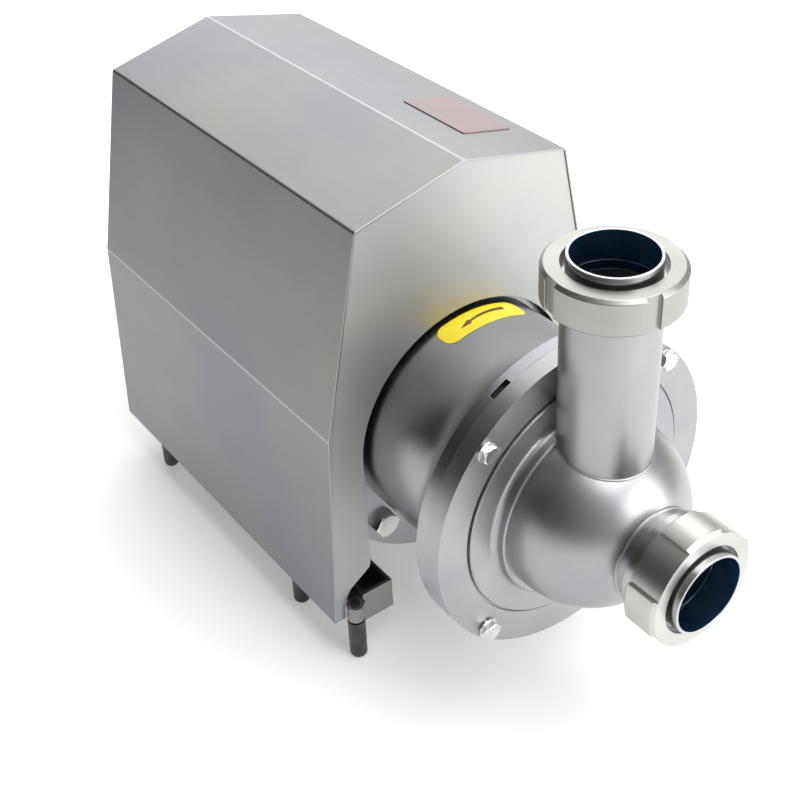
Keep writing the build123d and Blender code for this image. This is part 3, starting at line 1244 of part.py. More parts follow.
def make_seal_ring():
    start = seat_front() + SEAT_LENGTH + SEAL_FACE_GAP
    return ring(SEAL_RING_RADIUS, STUB_RADIUS + SHAFT_FIT, start, spring_start())


def spring_start():
    return seat_front() + SEAT_LENGTH + SEAL_RING_LENGTH


def make_seal_spring():
    """Return the coil spring that presses the seal's turning ring on its seat."""
    height = SPRING_LENGTH - 2 * SPRING_WIRE
    coil = Helix(pitch=SPRING_PITCH, height=height, radius=SPRING_RADIUS)
    section = Plane(origin=coil @ 0, z_dir=coil % 0) * Circle(SPRING_WIRE)
    return Pos(0, spring_start() + SPRING_WIRE, 0) * Rot(-90, 0, 0) * sweep(section, path=coil)


def make_seal_collar():
    start = spring_start() + SPRING_LENGTH
    return ring(SEAL_COLLAR_RADIUS, STUB_RADIUS + SHAFT_FIT, start, start + SEAL_COLLAR_LENGTH)


# Nodes

def make_nodes():
    """Return every piece by its name, about the shaft axis."""
    rail = make_rail()
    nodes = {
        "shroud_cover": make_shroud_cover(),
        "front_panel": make_front_panel(),
        "rear_panel": make_rear_panel(),
        "nameplate": make_nameplate(),
        "shroud_fasteners": make_shroud_fasteners(),
        "rail_left": left_of(rail),
        "rail_right": rail,
        "bridges": make_bridges(),
        "motor_foot_bolts": make_motor_foot_bolts(),
        "motor_frame": make_motor_frame(),
        "drive_end_shield": make_drive_end_shield(),
        "rear_end_shield": make_rear_shield(),
        "motor_tie_bolts": make_tie_bolts(),
        "stator_core": make_stator_core(),
        "stator_windings": make_stator_windings(),
        "rotor_core": make_rotor_core(),
        "rotor_cage": make_rotor_cage(),
        "motor_shaft": make_motor_shaft(),
        "bearing_inner_rings": make_bearing_inner_rings(),
        "bearing_outer_rings": make_bearing_outer_rings(),
        "bearing_balls": make_bearing_balls(),
        "bearing_cages": make_bearing_cages(),
        "cooling_fan": make_fan(),
        "fan_cover": make_fan_cover(),
        "terminal_box": make_terminal_box(),
        "terminal_box_lid": make_terminal_box_lid(),
        "terminal_box_screws": make_terminal_box_screws(),
        "terminal_block": make_terminal_block(),
        "cable_gland": make_cable_gland(),
        "lantern": make_lantern(),
        "lantern_bolts": make_lantern_bolts(),
        "rotation_label": make_rotation_label(),
        "casing_back_plate": make_back_plate(),
        "casing_ring_seal": make_ring_seal(),
        "casing_cover": make_casing_cover(),
        "casing_bolts": make_casing_bolts(),
        "suction_tube": make_suction_tube(),
        "inlet_male_end": make_inlet_male_end(),
        "inlet_gasket": at_inlet(union_gasket()),
        "inlet_liner": at_inlet(union_liner()),
        "inlet_nut": make_inlet_nut(),
        "outlet_male_end": make_outlet_male_end(),
        "outlet_gasket": at_outlet(union_gasket()),
        "outlet_liner": at_outlet(union_liner()),
        "outlet_nut": make_outlet_nut(),
        "shaft_keys": make_shaft_keys(),
        "stub_shaft": make_stub_shaft(),
        "shaft_clamp_ring": make_clamp_ring(),
        "impeller": make_impeller(),
        "impeller_nut": make_impeller_nut(),
        "seal_seat": make_seal_seat(),
        "seal_ring": make_seal_ring(),
        "seal_spring": make_seal_spring(),
        "seal_collar": make_seal_collar(),
    }
    for name, (x, y) in FEET.items():
        nodes["foot_" + name] = make_foot(x, y)
    return nodes


def write_nodes(nodes):
    """Write each piece with the origin on the floor, under the middle of the whole pump."""
    os.makedirs("parts", exist_ok=True)
    middle_y = (INLET_MOUTH_Y + SHROUD_LENGTH) / 2
    place = Pos(0, -middle_y, SHAFT_HEIGHT)
    for name, piece in nodes.items():
        export_step(place * piece, "parts/" + name + ".step")


write_nodes(make_nodes())
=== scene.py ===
"""Dresses the sanitary centrifugal pump: finishes on every CAD node, finer pieces where the photograph shows them,
and a plain studio round it. Lengths are written in millimetres and turned to metres where they are used."""

import json
import logging
from abc import ABC, abstractmethod
from collections.abc import Callable, Sequence
from dataclasses import dataclass, field, replace
from enum import Enum
from math import cos, pi, radians, sin, sqrt, tan

import bmesh
import bpy
from mathutils import Matrix, Vector

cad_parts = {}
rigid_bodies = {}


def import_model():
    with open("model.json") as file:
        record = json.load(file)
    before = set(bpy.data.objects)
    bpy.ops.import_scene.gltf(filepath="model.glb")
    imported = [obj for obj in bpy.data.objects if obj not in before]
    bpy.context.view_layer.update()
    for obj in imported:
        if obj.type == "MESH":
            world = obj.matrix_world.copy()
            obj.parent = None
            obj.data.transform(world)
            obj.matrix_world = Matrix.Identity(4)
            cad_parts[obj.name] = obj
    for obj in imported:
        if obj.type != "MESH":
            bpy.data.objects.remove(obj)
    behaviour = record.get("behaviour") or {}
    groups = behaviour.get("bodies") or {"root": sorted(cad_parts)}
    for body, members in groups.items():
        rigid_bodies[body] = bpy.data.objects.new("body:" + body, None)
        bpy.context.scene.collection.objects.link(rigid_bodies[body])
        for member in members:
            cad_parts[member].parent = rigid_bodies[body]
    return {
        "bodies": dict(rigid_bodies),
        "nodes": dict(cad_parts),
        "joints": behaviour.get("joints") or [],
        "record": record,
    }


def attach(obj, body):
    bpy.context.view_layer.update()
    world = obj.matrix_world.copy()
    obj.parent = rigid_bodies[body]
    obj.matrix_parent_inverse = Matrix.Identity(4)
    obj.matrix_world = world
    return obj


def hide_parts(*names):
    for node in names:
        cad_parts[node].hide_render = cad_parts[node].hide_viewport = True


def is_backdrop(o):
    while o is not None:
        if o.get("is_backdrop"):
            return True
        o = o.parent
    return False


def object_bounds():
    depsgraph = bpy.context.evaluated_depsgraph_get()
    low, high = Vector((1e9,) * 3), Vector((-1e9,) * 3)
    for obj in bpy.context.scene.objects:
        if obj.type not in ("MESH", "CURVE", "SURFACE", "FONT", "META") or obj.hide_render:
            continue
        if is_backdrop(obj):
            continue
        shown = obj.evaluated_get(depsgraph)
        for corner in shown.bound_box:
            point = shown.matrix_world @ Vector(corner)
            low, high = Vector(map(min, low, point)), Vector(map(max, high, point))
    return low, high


LOG = logging.getLogger("pump")
MM = 0.001

# In millimetres: the shaft's height over the floor, where the shroud's front edge lies along the pump, and where
# the delivery pipe's axis lies from that edge.
SHAFT_HEIGHT = 182.0
FRONT_EDGE_Y = -51.75
DELIVERY_Y = -145.5

# Between these values of a noise, colours and roughness run from one end to the other.
CLOUD_RANGE = (0.35, 0.65)
GRAIN_RANGE = (0.3, 0.7)
# How far the painted highlight on a fold and on the cut front edge is full, and where it ends, in millimetres.
FOLD_POLISH = (0.5, 1.5)
RIM_POLISH = (0.3, 1.0)
# The width in millimetres over which a bore's colour begins.
BORE_EDGE = 0.1
# The share of its roughness that a fold keeps under its painted highlight.
POLISHED_SHARE = 0.9
# The wave texture's scale at which one wave is one unit long.
WAVE_SCALE = 0.314
# Angles in degrees above which an edge stays sharp, or is rounded on a copied CAD mesh.
PIECE_CREASE = 32.0
ROUNDED_CREASE = 25.0
BOLT_CREASE = 20.0
WELD_CREASE = 60.0
# Triangles of a CAD face are joined when they meet at less than this angle in degrees.
FLAT_ANGLE = 0.5
# Points nearer than these, in metres, are one point: in a mesh made here, and in a copied CAD mesh.
MADE_GAP = 1e-7
COPIED_GAP = 2e-6
# Steps of a rounded edge, of a turn, and of the label's film and arrow along and across.
ROUNDING_STEPS = 2
TURNED_SAMPLES = 48
FILM_STEPS = 48
ARROW_STEPS = 40
ACROSS_STEPS = 6

Outlet = bpy.types.NodeSocket
Linked = dict[str | int, object]


class Axis(Enum):
    """The line that a turned surface was spun about."""

    SHAFT = "shaft"
    DELIVERY = "delivery"


def at(x: float, y: float, z: float) -> Vector:
    """The point, in metres in the row frame, of millimetres from the shaft's axis at the shroud's front edge."""
    return Vector((x, y + FRONT_EDGE_Y, z + SHAFT_HEIGHT)) * MM


def linear(code: str) -> tuple[float, float, float, float]:
    """Turns an sRGB hex colour to the linear values that shaders take.

    Args:
        code: Six hex digits after a hash sign.

    Returns:
        Red, green, blue and full alpha.
    """
    parts = [int(code[i:i + 2], 16) / 255 for i in (1, 3, 5)]
    red, green, blue = [p / 12.92 if p <= 0.04045 else ((p + 0.055) / 1.055) ** 2.4 for p in parts]
    return red, green, blue, 1.0


def add(tree: bpy.types.NodeTree, kind: str, links: Linked | None = None, **settings: object) -> bpy.types.Node:
    """Adds one node with its settings, and feeds its inputs.

    Args:
        tree: The tree that gets the node.
        kind: The node's Blender type.
        links: For each input, an output to link to it or the value to set on it.
        **settings: The node's own properties.

    Returns:
        The new node.
    """
    node = tree.nodes.new(kind)
    for name, value in settings.items():
        setattr(node, name, value)
    for name, source in (links or {}).items():
        if isinstance(source, bpy.types.NodeSocket):
            tree.links.new(source, node.inputs[name])
        else:
            node.inputs[name].default_value = source
    return node


def ramp(tree: bpy.types.NodeTree, value: Outlet, start: float, end: float, low: float = 0.0, high: float = 1.0,
         kind: str = "LINEAR") -> Outlet:
    """Maps a value from one range to another, and holds it at both ends."""
    return add(tree, "ShaderNodeMapRange", {
        "Value": value, "From Min": start, "From Max": end, "To Min": low, "To Max": high},
        interpolation_type=kind).outputs[0]


def worked(tree: bpy.types.NodeTree, operation: str, first: Outlet, second: Outlet | float = 0.0) -> Outlet:
    """The result of one operation on one or two values."""
    return add(tree, "ShaderNodeMath", {0: first, 1: second}, operation=operation).outputs[0]


@dataclass(frozen=True)
class Finish(ABC):
    """A surface finish that becomes one procedural material.

    Attributes:
        name: The finish's name in a maker's words.
        base: Its main colour.
        other: The colour that it drifts to across the surface.
        roughness: How dull it is, from 0 to 1.
        metallic: 1 for bare metal, 0 for everything else.
        drift: The width in millimetres of its patches of colour.
        grain: The width in millimetres of its fine texture.
        depth: The height in millimetres of its fine texture.
    """

    name: str
    base: str
    other: str
    roughness: float
    metallic: float = 1.0
    drift: float = 120.0
    grain: float = 1.2
    depth: float = 0.01

    def material(self) -> bpy.types.Material:
        """Builds the material once and returns it."""
        if self.name in bpy.data.materials:
            return bpy.data.materials[self.name]
        made = bpy.data.materials.new(self.name)
        made.use_nodes = True
        tree = made.node_tree
        shader = tree.nodes["Principled BSDF"]
        shader.inputs["Metallic"].default_value = self.metallic
        place = add(tree, "ShaderNodeTexCoord").outputs["Object"]
        self.shade(tree, shader, place)
        return made

    def clouds(self, tree: bpy.types.NodeTree, place: Outlet) -> Outlet:
        """The finish's two colours, drifting into each other over the surface.

        Args:
            tree: The material's tree.
            place: Object coordinates.

        Returns:
            A colour output.
        """
        noise = add(tree, "ShaderNodeTexNoise", {"Vector": place, "Scale": 1 / (self.drift * MM), "Detail": 3.0})
        share = ramp(tree, noise.outputs["Fac"], *CLOUD_RANGE)
        mixed = add(tree, "ShaderNodeMix", {0: share, 6: linear(self.base), 7: linear(self.other)},
                    data_type="RGBA")
        return mixed.outputs[2]

    def dullness(self, tree: bpy.types.NodeTree, pattern: Outlet, spread: float) -> Outlet:
        """Roughness that a pattern raises and lowers about its middle value.

        Args:
            tree: The material's tree.
            pattern: A value output from 0 to 1.
            spread: How far the roughness goes each way.

        Returns:
            A value output.
        """
        return ramp(tree, pattern, *GRAIN_RANGE, self.roughness - spread, self.roughness + spread)

    def relief(self, tree: bpy.types.NodeTree, shader: bpy.types.Node, pattern: Outlet) -> None:
        """Raises the fine texture as a bump.

        Args:
            tree: The material's tree.
            shader: The shader that takes the normal.
            pattern: A value output from 0 to 1.
        """
        bump = add(tree, "ShaderNodeBump", {"Height": pattern, "Distance": self.depth * MM, "Strength": 1.0})
        tree.links.new(bump.outputs[0], shader.inputs["Normal"])

    @abstractmethod
    def shade(self, tree: bpy.types.NodeTree, shader: bpy.types.Node, place: Outlet) -> None:
        """Feeds the shader with this finish's pattern."""


@dataclass(frozen=True)
class RolledSheet(Finish):
    """Cold-rolled stainless sheet brushed dull along its length: a soft grey with faint warm and cool clouds, and
    painted highlights on its folds.

    Attributes:
        folds: Where the sheet is folded, as distance from the middle plane and height over the floor.
        edge: Where the sheet's cut front edge lies along the pump, in millimetres.
        rubbed: The colour of the painted highlight on folds and cut edges.
    """

    folds: tuple[tuple[float, float], ...] = ()
    edge: float | None = None
    # The painted highlight's colour on the folds and the cut front edge.
    rubbed: str = "#a6a8aa"

    def shade(self, tree: bpy.types.NodeTree, shader: bpy.types.Node, place: Outlet) -> None:
        """Long fine grain along the pump, and painted highlights on the folds."""
        stretched = add(tree, "ShaderNodeMapping", {"Vector": place, "Scale": (1.0, 0.03, 1.0)})
        lines = add(tree, "ShaderNodeTexNoise", {
            "Vector": stretched.outputs[0], "Scale": 1 / (self.grain * MM), "Detail": 2.0})
        colour = self.clouds(tree, place)
        dull = self.dullness(tree, lines.outputs["Fac"], spread=0.015)
        if self.folds:
            colour, dull = self.rub(tree, place, colour, dull)
        tree.links.new(colour, shader.inputs["Base Color"])
        tree.links.new(dull, shader.inputs["Roughness"])
        self.relief(tree, shader, lines.outputs["Fac"])

    def rub(self, tree: bpy.types.NodeTree, place: Outlet, colour: Outlet, dull: Outlet) -> tuple[Outlet, Outlet]:
        """Paints a highlight on the folds and the cut front edge, and makes them a little smoother.

        Args:
            tree: The material's tree.
            place: Object coordinates.
            colour: The sheet's colour.
            dull: The sheet's roughness.

        Returns:
            The new colour and roughness outputs.
        """
        parts = add(tree, "ShaderNodeSeparateXYZ", {"Vector": place})
        section = add(tree, "ShaderNodeCombineXYZ", {
            "X": worked(tree, "ABSOLUTE", parts.outputs["X"]), "Z": parts.outputs["Z"]})
        nearest: Outlet | None = None
        for across, height in self.folds:
            gap = add(tree, "ShaderNodeVectorMath", {0: section.outputs[0], 1: (across * MM, 0.0, height * MM)},
                      operation="DISTANCE").outputs["Value"]
            nearest = gap if nearest is None else worked(tree, "MINIMUM", nearest, gap)
        mask = ramp(tree, nearest, FOLD_POLISH[1] * MM, FOLD_POLISH[0] * MM, kind="SMOOTHSTEP")
        if self.edge is not None:
            front = (self.edge + FRONT_EDGE_Y) * MM
            rim = ramp(tree, parts.outputs["Y"], front + RIM_POLISH[1] * MM, front + RIM_POLISH[0] * MM)
            mask = worked(tree, "MAXIMUM", mask, rim)
        # Painted highlight: the folds and the cut front edge are brightened towards one pale colour.
        bright = add(tree, "ShaderNodeMix", {0: mask, 6: colour, 7: linear(self.rubbed)}, data_type="RGBA")
        worn = add(tree, "ShaderNodeMix", {0: mask, 2: dull, 3: self.roughness * POLISHED_SHARE}, data_type="FLOAT")
        return bright.outputs[2], worn.outputs[0]


@dataclass(frozen=True)
class TurnedMetal(Finish):
    """Metal spun in a lathe: fine rings round its axis that draw reflections out across them.

    Attributes:
        axis: The line that it was spun about.
        bore: The radius in millimetres inside which the surface is a bore, or 0 for none.
        bore_base: The colour inside that bore.
    """

    axis: Axis = Axis.SHAFT
    bore: float = 0.0
    bore_base: str = "#7288a0"

    def shade(self, tree: bpy.types.NodeTree, shader: bpy.types.Node, place: Outlet) -> None:
        """Rings by distance along and out from the axis, and a bore of its own colour."""
        centre = at(0.0, 0.0, 0.0) if self.axis is Axis.SHAFT else at(0.0, DELIVERY_Y, 0.0)
        moved = add(tree, "ShaderNodeVectorMath", {0: place, 1: centre}, operation="SUBTRACT")
        parts = add(tree, "ShaderNodeSeparateXYZ", {"Vector": moved.outputs[0]})
        along, up = ("Y", "Z") if self.axis is Axis.SHAFT else ("Z", "Y")
        flat = add(tree, "ShaderNodeCombineXYZ", {"X": parts.outputs["X"], "Y": parts.outputs[up]})
        radius = add(tree, "ShaderNodeVectorMath", {0: flat.outputs[0]}, operation="LENGTH").outputs["Value"]
        travel = worked(tree, "ADD", radius, parts.outputs[along])
        rings = add(tree, "ShaderNodeTexNoise", {"W": travel, "Scale": 1 / (self.grain * MM), "Detail": 2.0},
                    noise_dimensions="1D")
        colour = self.clouds(tree, place)
        if self.bore:
            inside = ramp(tree, radius, (self.bore + BORE_EDGE) * MM, self.bore * MM)
            colour = add(tree, "ShaderNodeMix", {0: inside, 6: colour, 7: linear(self.bore_base)},
                         data_type="RGBA").outputs[2]
        tree.links.new(colour, shader.inputs["Base Color"])
        tree.links.new(self.dullness(tree, rings.outputs["Fac"], spread=0.012), shader.inputs["Roughness"])
        self.relief(tree, shader, rings.outputs["Fac"])


@dataclass(frozen=True)
class GrainedSurface(Finish):
    """A cast, blasted, moulded or painted skin: one fine grain all over."""

    def shade(self, tree: bpy.types.NodeTree, shader: bpy.types.Node, place: Outlet) -> None:
        """Even grain in roughness and relief under drifting colour."""
        grit = add(tree, "ShaderNodeTexNoise", {"Vector": place, "Scale": 1 / (self.grain * MM), "Detail": 3.0})
        tree.links.new(self.clouds(tree, place), shader.inputs["Base Color"])
        tree.links.new(self.dullness(tree, grit.outputs["Fac"], spread=0.06), shader.inputs["Roughness"])
        self.relief(tree, shader, grit.outputs["Fac"])


@dataclass(frozen=True)
class StackedSheets(Finish):
    """Thin iron sheets or turns of wire laid side by side along the shaft: fine lines across it."""

    def shade(self, tree: bpy.types.NodeTree, shader: bpy.types.Node, place: Outlet) -> None:
        """Lines at an even pitch along the shaft."""
        lines = add(tree, "ShaderNodeTexWave", {"Vector": place, "Scale": WAVE_SCALE / (self.grain * MM),
                                                "Distortion": 0.4}, bands_direction="Y")
        tree.links.new(self.clouds(tree, place), shader.inputs["Base Color"])
        tree.links.new(self.dullness(tree, lines.outputs["Fac"], spread=0.08), shader.inputs["Roughness"])
        self.relief(tree, shader, lines.outputs["Fac"])


# Every grain below is drawn coarser than the real one, which would fall between the picture's pixels.
# Cold-rolled stainless sheet, brushed dull, with painted highlights on its folds and cut front edge. Its grey is
# painted darker than the panels', as painted shade on the cover's walls.
SHROUD_SHEET = RolledSheet("satin_stainless_sheet", "#87898f", "#92918e", 0.46, grain=2.4, depth=0.0015, drift=170.0,
                           folds=((93.0, 376.0), (126.0, 216.0), (0.0, 398.0)), edge=0.0)
# The same sheet cut flat, with no fold in it, painted lighter than the cover as painted light on the front and rear
# panels.
PANEL_SHEET = RolledSheet("satin_stainless_panel", "#b2b4b8", "#bcbbb7", 0.58, grain=2.4, depth=0.0015, drift=150.0)
# Thin bare plate of a warmer, pinker steel than the roof that it lies on.
BARE_PLATE = RolledSheet("bare_plate_stainless", "#8b8180", "#928283", 0.42, grain=1.6, depth=0.002, drift=30.0)
# Formed and pickled stainless channel: flat mid grey.
CHANNEL_STEEL = RolledSheet("pickled_stainless_channel", "#8e8e8b", "#9b9a97", 0.45, grain=2.0, depth=0.006,
                            drift=60.0)
# Turned steel feet, coloured a dark grey all over.
FOOT_STEEL = GrainedSurface("dark_foot_steel", "#4a4a49", "#5b5b59", 0.42, grain=1.5, depth=0.01, drift=14.0)
# Cold-headed bright stainless: reflects nearly like chrome.
BOLT_STEEL = GrainedSurface("bright_bolt_stainless", "#d6d6d4", "#bfc1c3", 0.16, grain=2.0, depth=0.004, drift=9.0)
# Glass-bead-blasted stainless casing: a fine frosted grey with soft highlights.
CASING_STEEL = GrainedSurface("bead_blasted_stainless", "#9d9ea2", "#a7a7a6", 0.35, grain=1.1, depth=0.005, drift=70.0)
# Cast and machined drum, a little darker than the casing and smoother, with faint rings round it.
LANTERN_STEEL = TurnedMetal("machined_cast_stainless", "#9a9b9f", "#a4a5a7", 0.30, grain=2.2, depth=0.0015, drift=80.0)
# Turned and polished male ends, with a dull blue wall inside.
SHAFT_END_STEEL = TurnedMetal("polished_turned_stainless", "#a6a6a4", "#b0b0ae", 0.28, grain=1.4, depth=0.003,
                              drift=40.0, bore=31.0)
DELIVERY_END_STEEL = replace(SHAFT_END_STEEL, name="polished_turned_stainless_upright", axis=Axis.DELIVERY)
# Satin union nuts, a warm off-white. Their turning marks are all but polished away. The level nut's copy is painted
# lighter and the upright nut's darker: painted light and shade on one steel.
SHAFT_NUT_STEEL = TurnedMetal("polished_nut_stainless", "#b8b8b4", "#c2c1bd", 0.34, grain=1.8, depth=0.0002,
                              drift=50.0)
# Painted shade: the upright nut's grey is set darker than the level nut's.
DELIVERY_NUT_STEEL = TurnedMetal("polished_nut_stainless_upright", "#a0a09c", "#aaa9a5", 0.38, grain=1.8,
                                 depth=0.0004, drift=50.0, axis=Axis.DELIVERY)
# Liners, bright outside, with a pale blue bore: its blue is painted lighter, as painted light inside the bore where
# shade falls.
SHAFT_LINER_STEEL = TurnedMetal("tinted_liner_stainless", "#b4b5b7", "#bfbfbf", 0.2, grain=1.6, depth=0.002,
                                drift=30.0, bore=28.2, bore_base="#93c8f2")
DELIVERY_LINER_STEEL = replace(SHAFT_LINER_STEEL, name="tinted_liner_stainless_upright", axis=Axis.DELIVERY)
# Two-pack enamel on cast aluminium, with a faint orange peel.
MOTOR_ENAMEL = GrainedSurface("motor_enamel", "#4d5a66", "#56626d", 0.42, metallic=0.0, grain=3.0, depth=0.03)
# Stacked electrical steel, blue-grey from annealing.
CORE_IRON = StackedSheets("laminated_core_steel", "#5c6067", "#6d7078", 0.45, grain=1.5, depth=0.02, drift=30.0)
# Enamelled copper wire under varnish.
WINDING_COPPER = StackedSheets("varnished_copper_wire", "#a4562b", "#8c431f", 0.32, grain=1.2, depth=0.12, drift=14.0)
# Die-cast aluminium rotor cage.
CAGE_ALUMINIUM = GrainedSurface("cast_aluminium_cage", "#b8babd", "#a9abaf", 0.42, grain=1.6, depth=0.02, drift=25.0)
# Ground and hardened bearing steel.
BEARING_STEEL = TurnedMetal("ground_bearing_steel", "#c4c6c8", "#b6b8bb", 0.12, grain=0.8, depth=0.001, drift=20.0)
# Glass-filled nylon, slightly milky.
CAGE_NYLON = GrainedSurface("nylon_ball_cage", "#c9c2ab", "#bdb59c", 0.5, metallic=0.0, grain=1.0, depth=0.02)
# Turned and ground shaft steel.
SHAFT_STEEL = TurnedMetal("ground_shaft_steel", "#a7a9ab", "#b3b5b6", 0.24, grain=1.2, depth=0.003, drift=30.0)
# Investment-cast and polished impeller.
IMPELLER_STEEL = GrainedSurface("cast_impeller_stainless", "#b3b4b5", "#bfbfbf", 0.27, grain=1.4, depth=0.008)
# Moulded polypropylene fan.
FAN_PLASTIC = GrainedSurface("moulded_fan_polypropylene", "#232425", "#2b2c2e", 0.55, metallic=0.0, grain=1.2)
# Moulded terminal plastic.
TERMINAL_PLASTIC = GrainedSurface("moulded_terminal_plastic", "#1f2124", "#292b2e", 0.48, metallic=0.0, grain=1.0)
# Food-grade rubber of the seals.
SEAL_RUBBER = GrainedSurface("moulded_seal_rubber", "#1b1c1d", "#232425", 0.62, metallic=0.0, grain=0.9, depth=0.02)
# Lapped silicon carbide seat.
SEAT_CERAMIC = GrainedSurface("lapped_silicon_carbide", "#4a4c50", "#53565b", 0.28, metallic=0.0, grain=0.7)
# Pressed carbon ring.
SEAL_CARBON = GrainedSurface("pressed_seal_carbon", "#26272a", "#303135", 0.4, metallic=0.0, grain=0.7)
# Drawn spring wire and turned collar.
SPRING_STEEL = TurnedMetal("drawn_spring_stainless", "#bfc0c1", "#cbcbcb", 0.22, grain=0.9, depth=0.002, drift=15.0)
# Yellow vinyl film, slightly glossy, and a little faded in patches.
LABEL_FILM = GrainedSurface("yellow_vinyl_film", "#f0d61c", "#f4e23c", 0.35, metallic=0.0, grain=3.0, drift=22.0)
# Brown screen-printing ink.
ARROW_INK = GrainedSurface("brown_print_ink", "#5a3f17", "#6e4d1d", 0.5, metallic=0.0, grain=1.0, drift=6.0)

FINISHED_NODES: tuple[tuple[Finish, str], ...] = (
    (SHROUD_SHEET, "shroud_cover"),
    (PANEL_SHEET, "front_panel rear_panel"),
    (BARE_PLATE, "nameplate"),
    (CHANNEL_STEEL, "rail_left rail_right bridges"),
    (FOOT_STEEL, "foot_front_left foot_middle_left foot_rear_left"),
    (FOOT_STEEL, "foot_front_right foot_middle_right foot_rear_right"),
    (BOLT_STEEL, "shroud_fasteners motor_foot_bolts motor_tie_bolts terminal_box_screws casing_bolts lantern_bolts"),
    (CASING_STEEL, "casing_cover casing_back_plate suction_tube"),
    (LANTERN_STEEL, "lantern"),
    (SHAFT_END_STEEL, "inlet_male_end"),
    (DELIVERY_END_STEEL, "outlet_male_end"),
    (SHAFT_NUT_STEEL, "inlet_nut"),
    (DELIVERY_NUT_STEEL, "outlet_nut"),
    (SHAFT_LINER_STEEL, "inlet_liner"),
    (DELIVERY_LINER_STEEL, "outlet_liner"),
    (MOTOR_ENAMEL, "motor_frame drive_end_shield rear_end_shield fan_cover terminal_box terminal_box_lid"),
    (CORE_IRON, "stator_core rotor_core"),
    (WINDING_COPPER, "stator_windings"),
    (CAGE_ALUMINIUM, "rotor_cage"),
    (BEARING_STEEL, "bearing_inner_rings bearing_outer_rings bearing_balls"),
    (CAGE_NYLON, "bearing_cages"),
    (SHAFT_STEEL, "motor_shaft stub_shaft shaft_clamp_ring shaft_keys"),
    (IMPELLER_STEEL, "impeller impeller_nut"),
    (FAN_PLASTIC, "cooling_fan"),
    (TERMINAL_PLASTIC, "terminal_block cable_gland"),
    (SEAL_RUBBER, "inlet_gasket outlet_gasket casing_ring_seal"),
    (LABEL_FILM, "rotation_label"),
    (SEAT_CERAMIC, "seal_seat"),
    (SEAL_CARBON, "seal_ring"),
    (SPRING_STEEL, "seal_spring seal_collar"),
)
NODE_FINISHES = {node: finish for finish, nodes in FINISHED_NODES for node in nodes.split()}


def dress(piece: bpy.types.Object, finish: Finish) -> None:
    """Puts a finish on every slot of an object, and on its first slot if it has none.

    Args:
        piece: The object to dress.
        finish: The finish that it gets.
    """
    material = finish.material()
    if not piece.material_slots:
        piece.data.materials.append(material)
    for slot in piece.material_slots:
        slot.material = material


def stand(name: str, data: bpy.types.ID) -> bpy.types.Object:
    """Makes an object of a mesh, lamp or camera, and links it to the scene."""
    made = bpy.data.objects.new(name, data)
    bpy.context.scene.collection.objects.link(made)
    return made


def finished_mesh(work: bmesh.types.BMesh, name: str) -> bpy.types.Mesh:
    """Writes a finished bmesh to a new mesh, and frees it."""
    mesh = bpy.data.meshes.new(name)
    work.to_mesh(mesh)
    work.free()
    return mesh


def place_mesh(name: str, mesh: bpy.types.Mesh, crease: float = PIECE_CREASE) -> bpy.types.Object:
    """Links a finished mesh to the scene, smooth except across sharp edges.

    Args:
        name: The new object's name.
        mesh: Its mesh, already in place.
        crease: The angle in degrees above which an edge stays sharp.

    Returns:
        The new object.
    """
    mesh.name = name
    mesh.shade_smooth()
    mesh.set_sharp_from_angle(angle=radians(crease))
    return stand(name, mesh)


def loft(rings: Sequence[Sequence[Vector]]) -> bpy.types.Mesh:
    """Skins closed rings of points that have the same count, and fills the first and the last.

    Args:
        rings: The rings in order.

    Returns:
        A mesh whose faces point outwards.
    """
    work = bmesh.new()
    rows = [[work.verts.new(point) for point in ring] for ring in rings]
    for lower, upper in zip(rows, rows[1:]):
        for i in range(len(lower)):
            j = (i + 1) % len(lower)
            work.faces.new((lower[i], lower[j], upper[j], upper[i]))
    work.faces.new(rows[0][::-1])
    work.faces.new(rows[-1])
    bmesh.ops.remove_doubles(work, verts=work.verts, dist=MADE_GAP)
    bmesh.ops.recalc_face_normals(work, faces=work.faces)
    return finished_mesh(work, "loft")


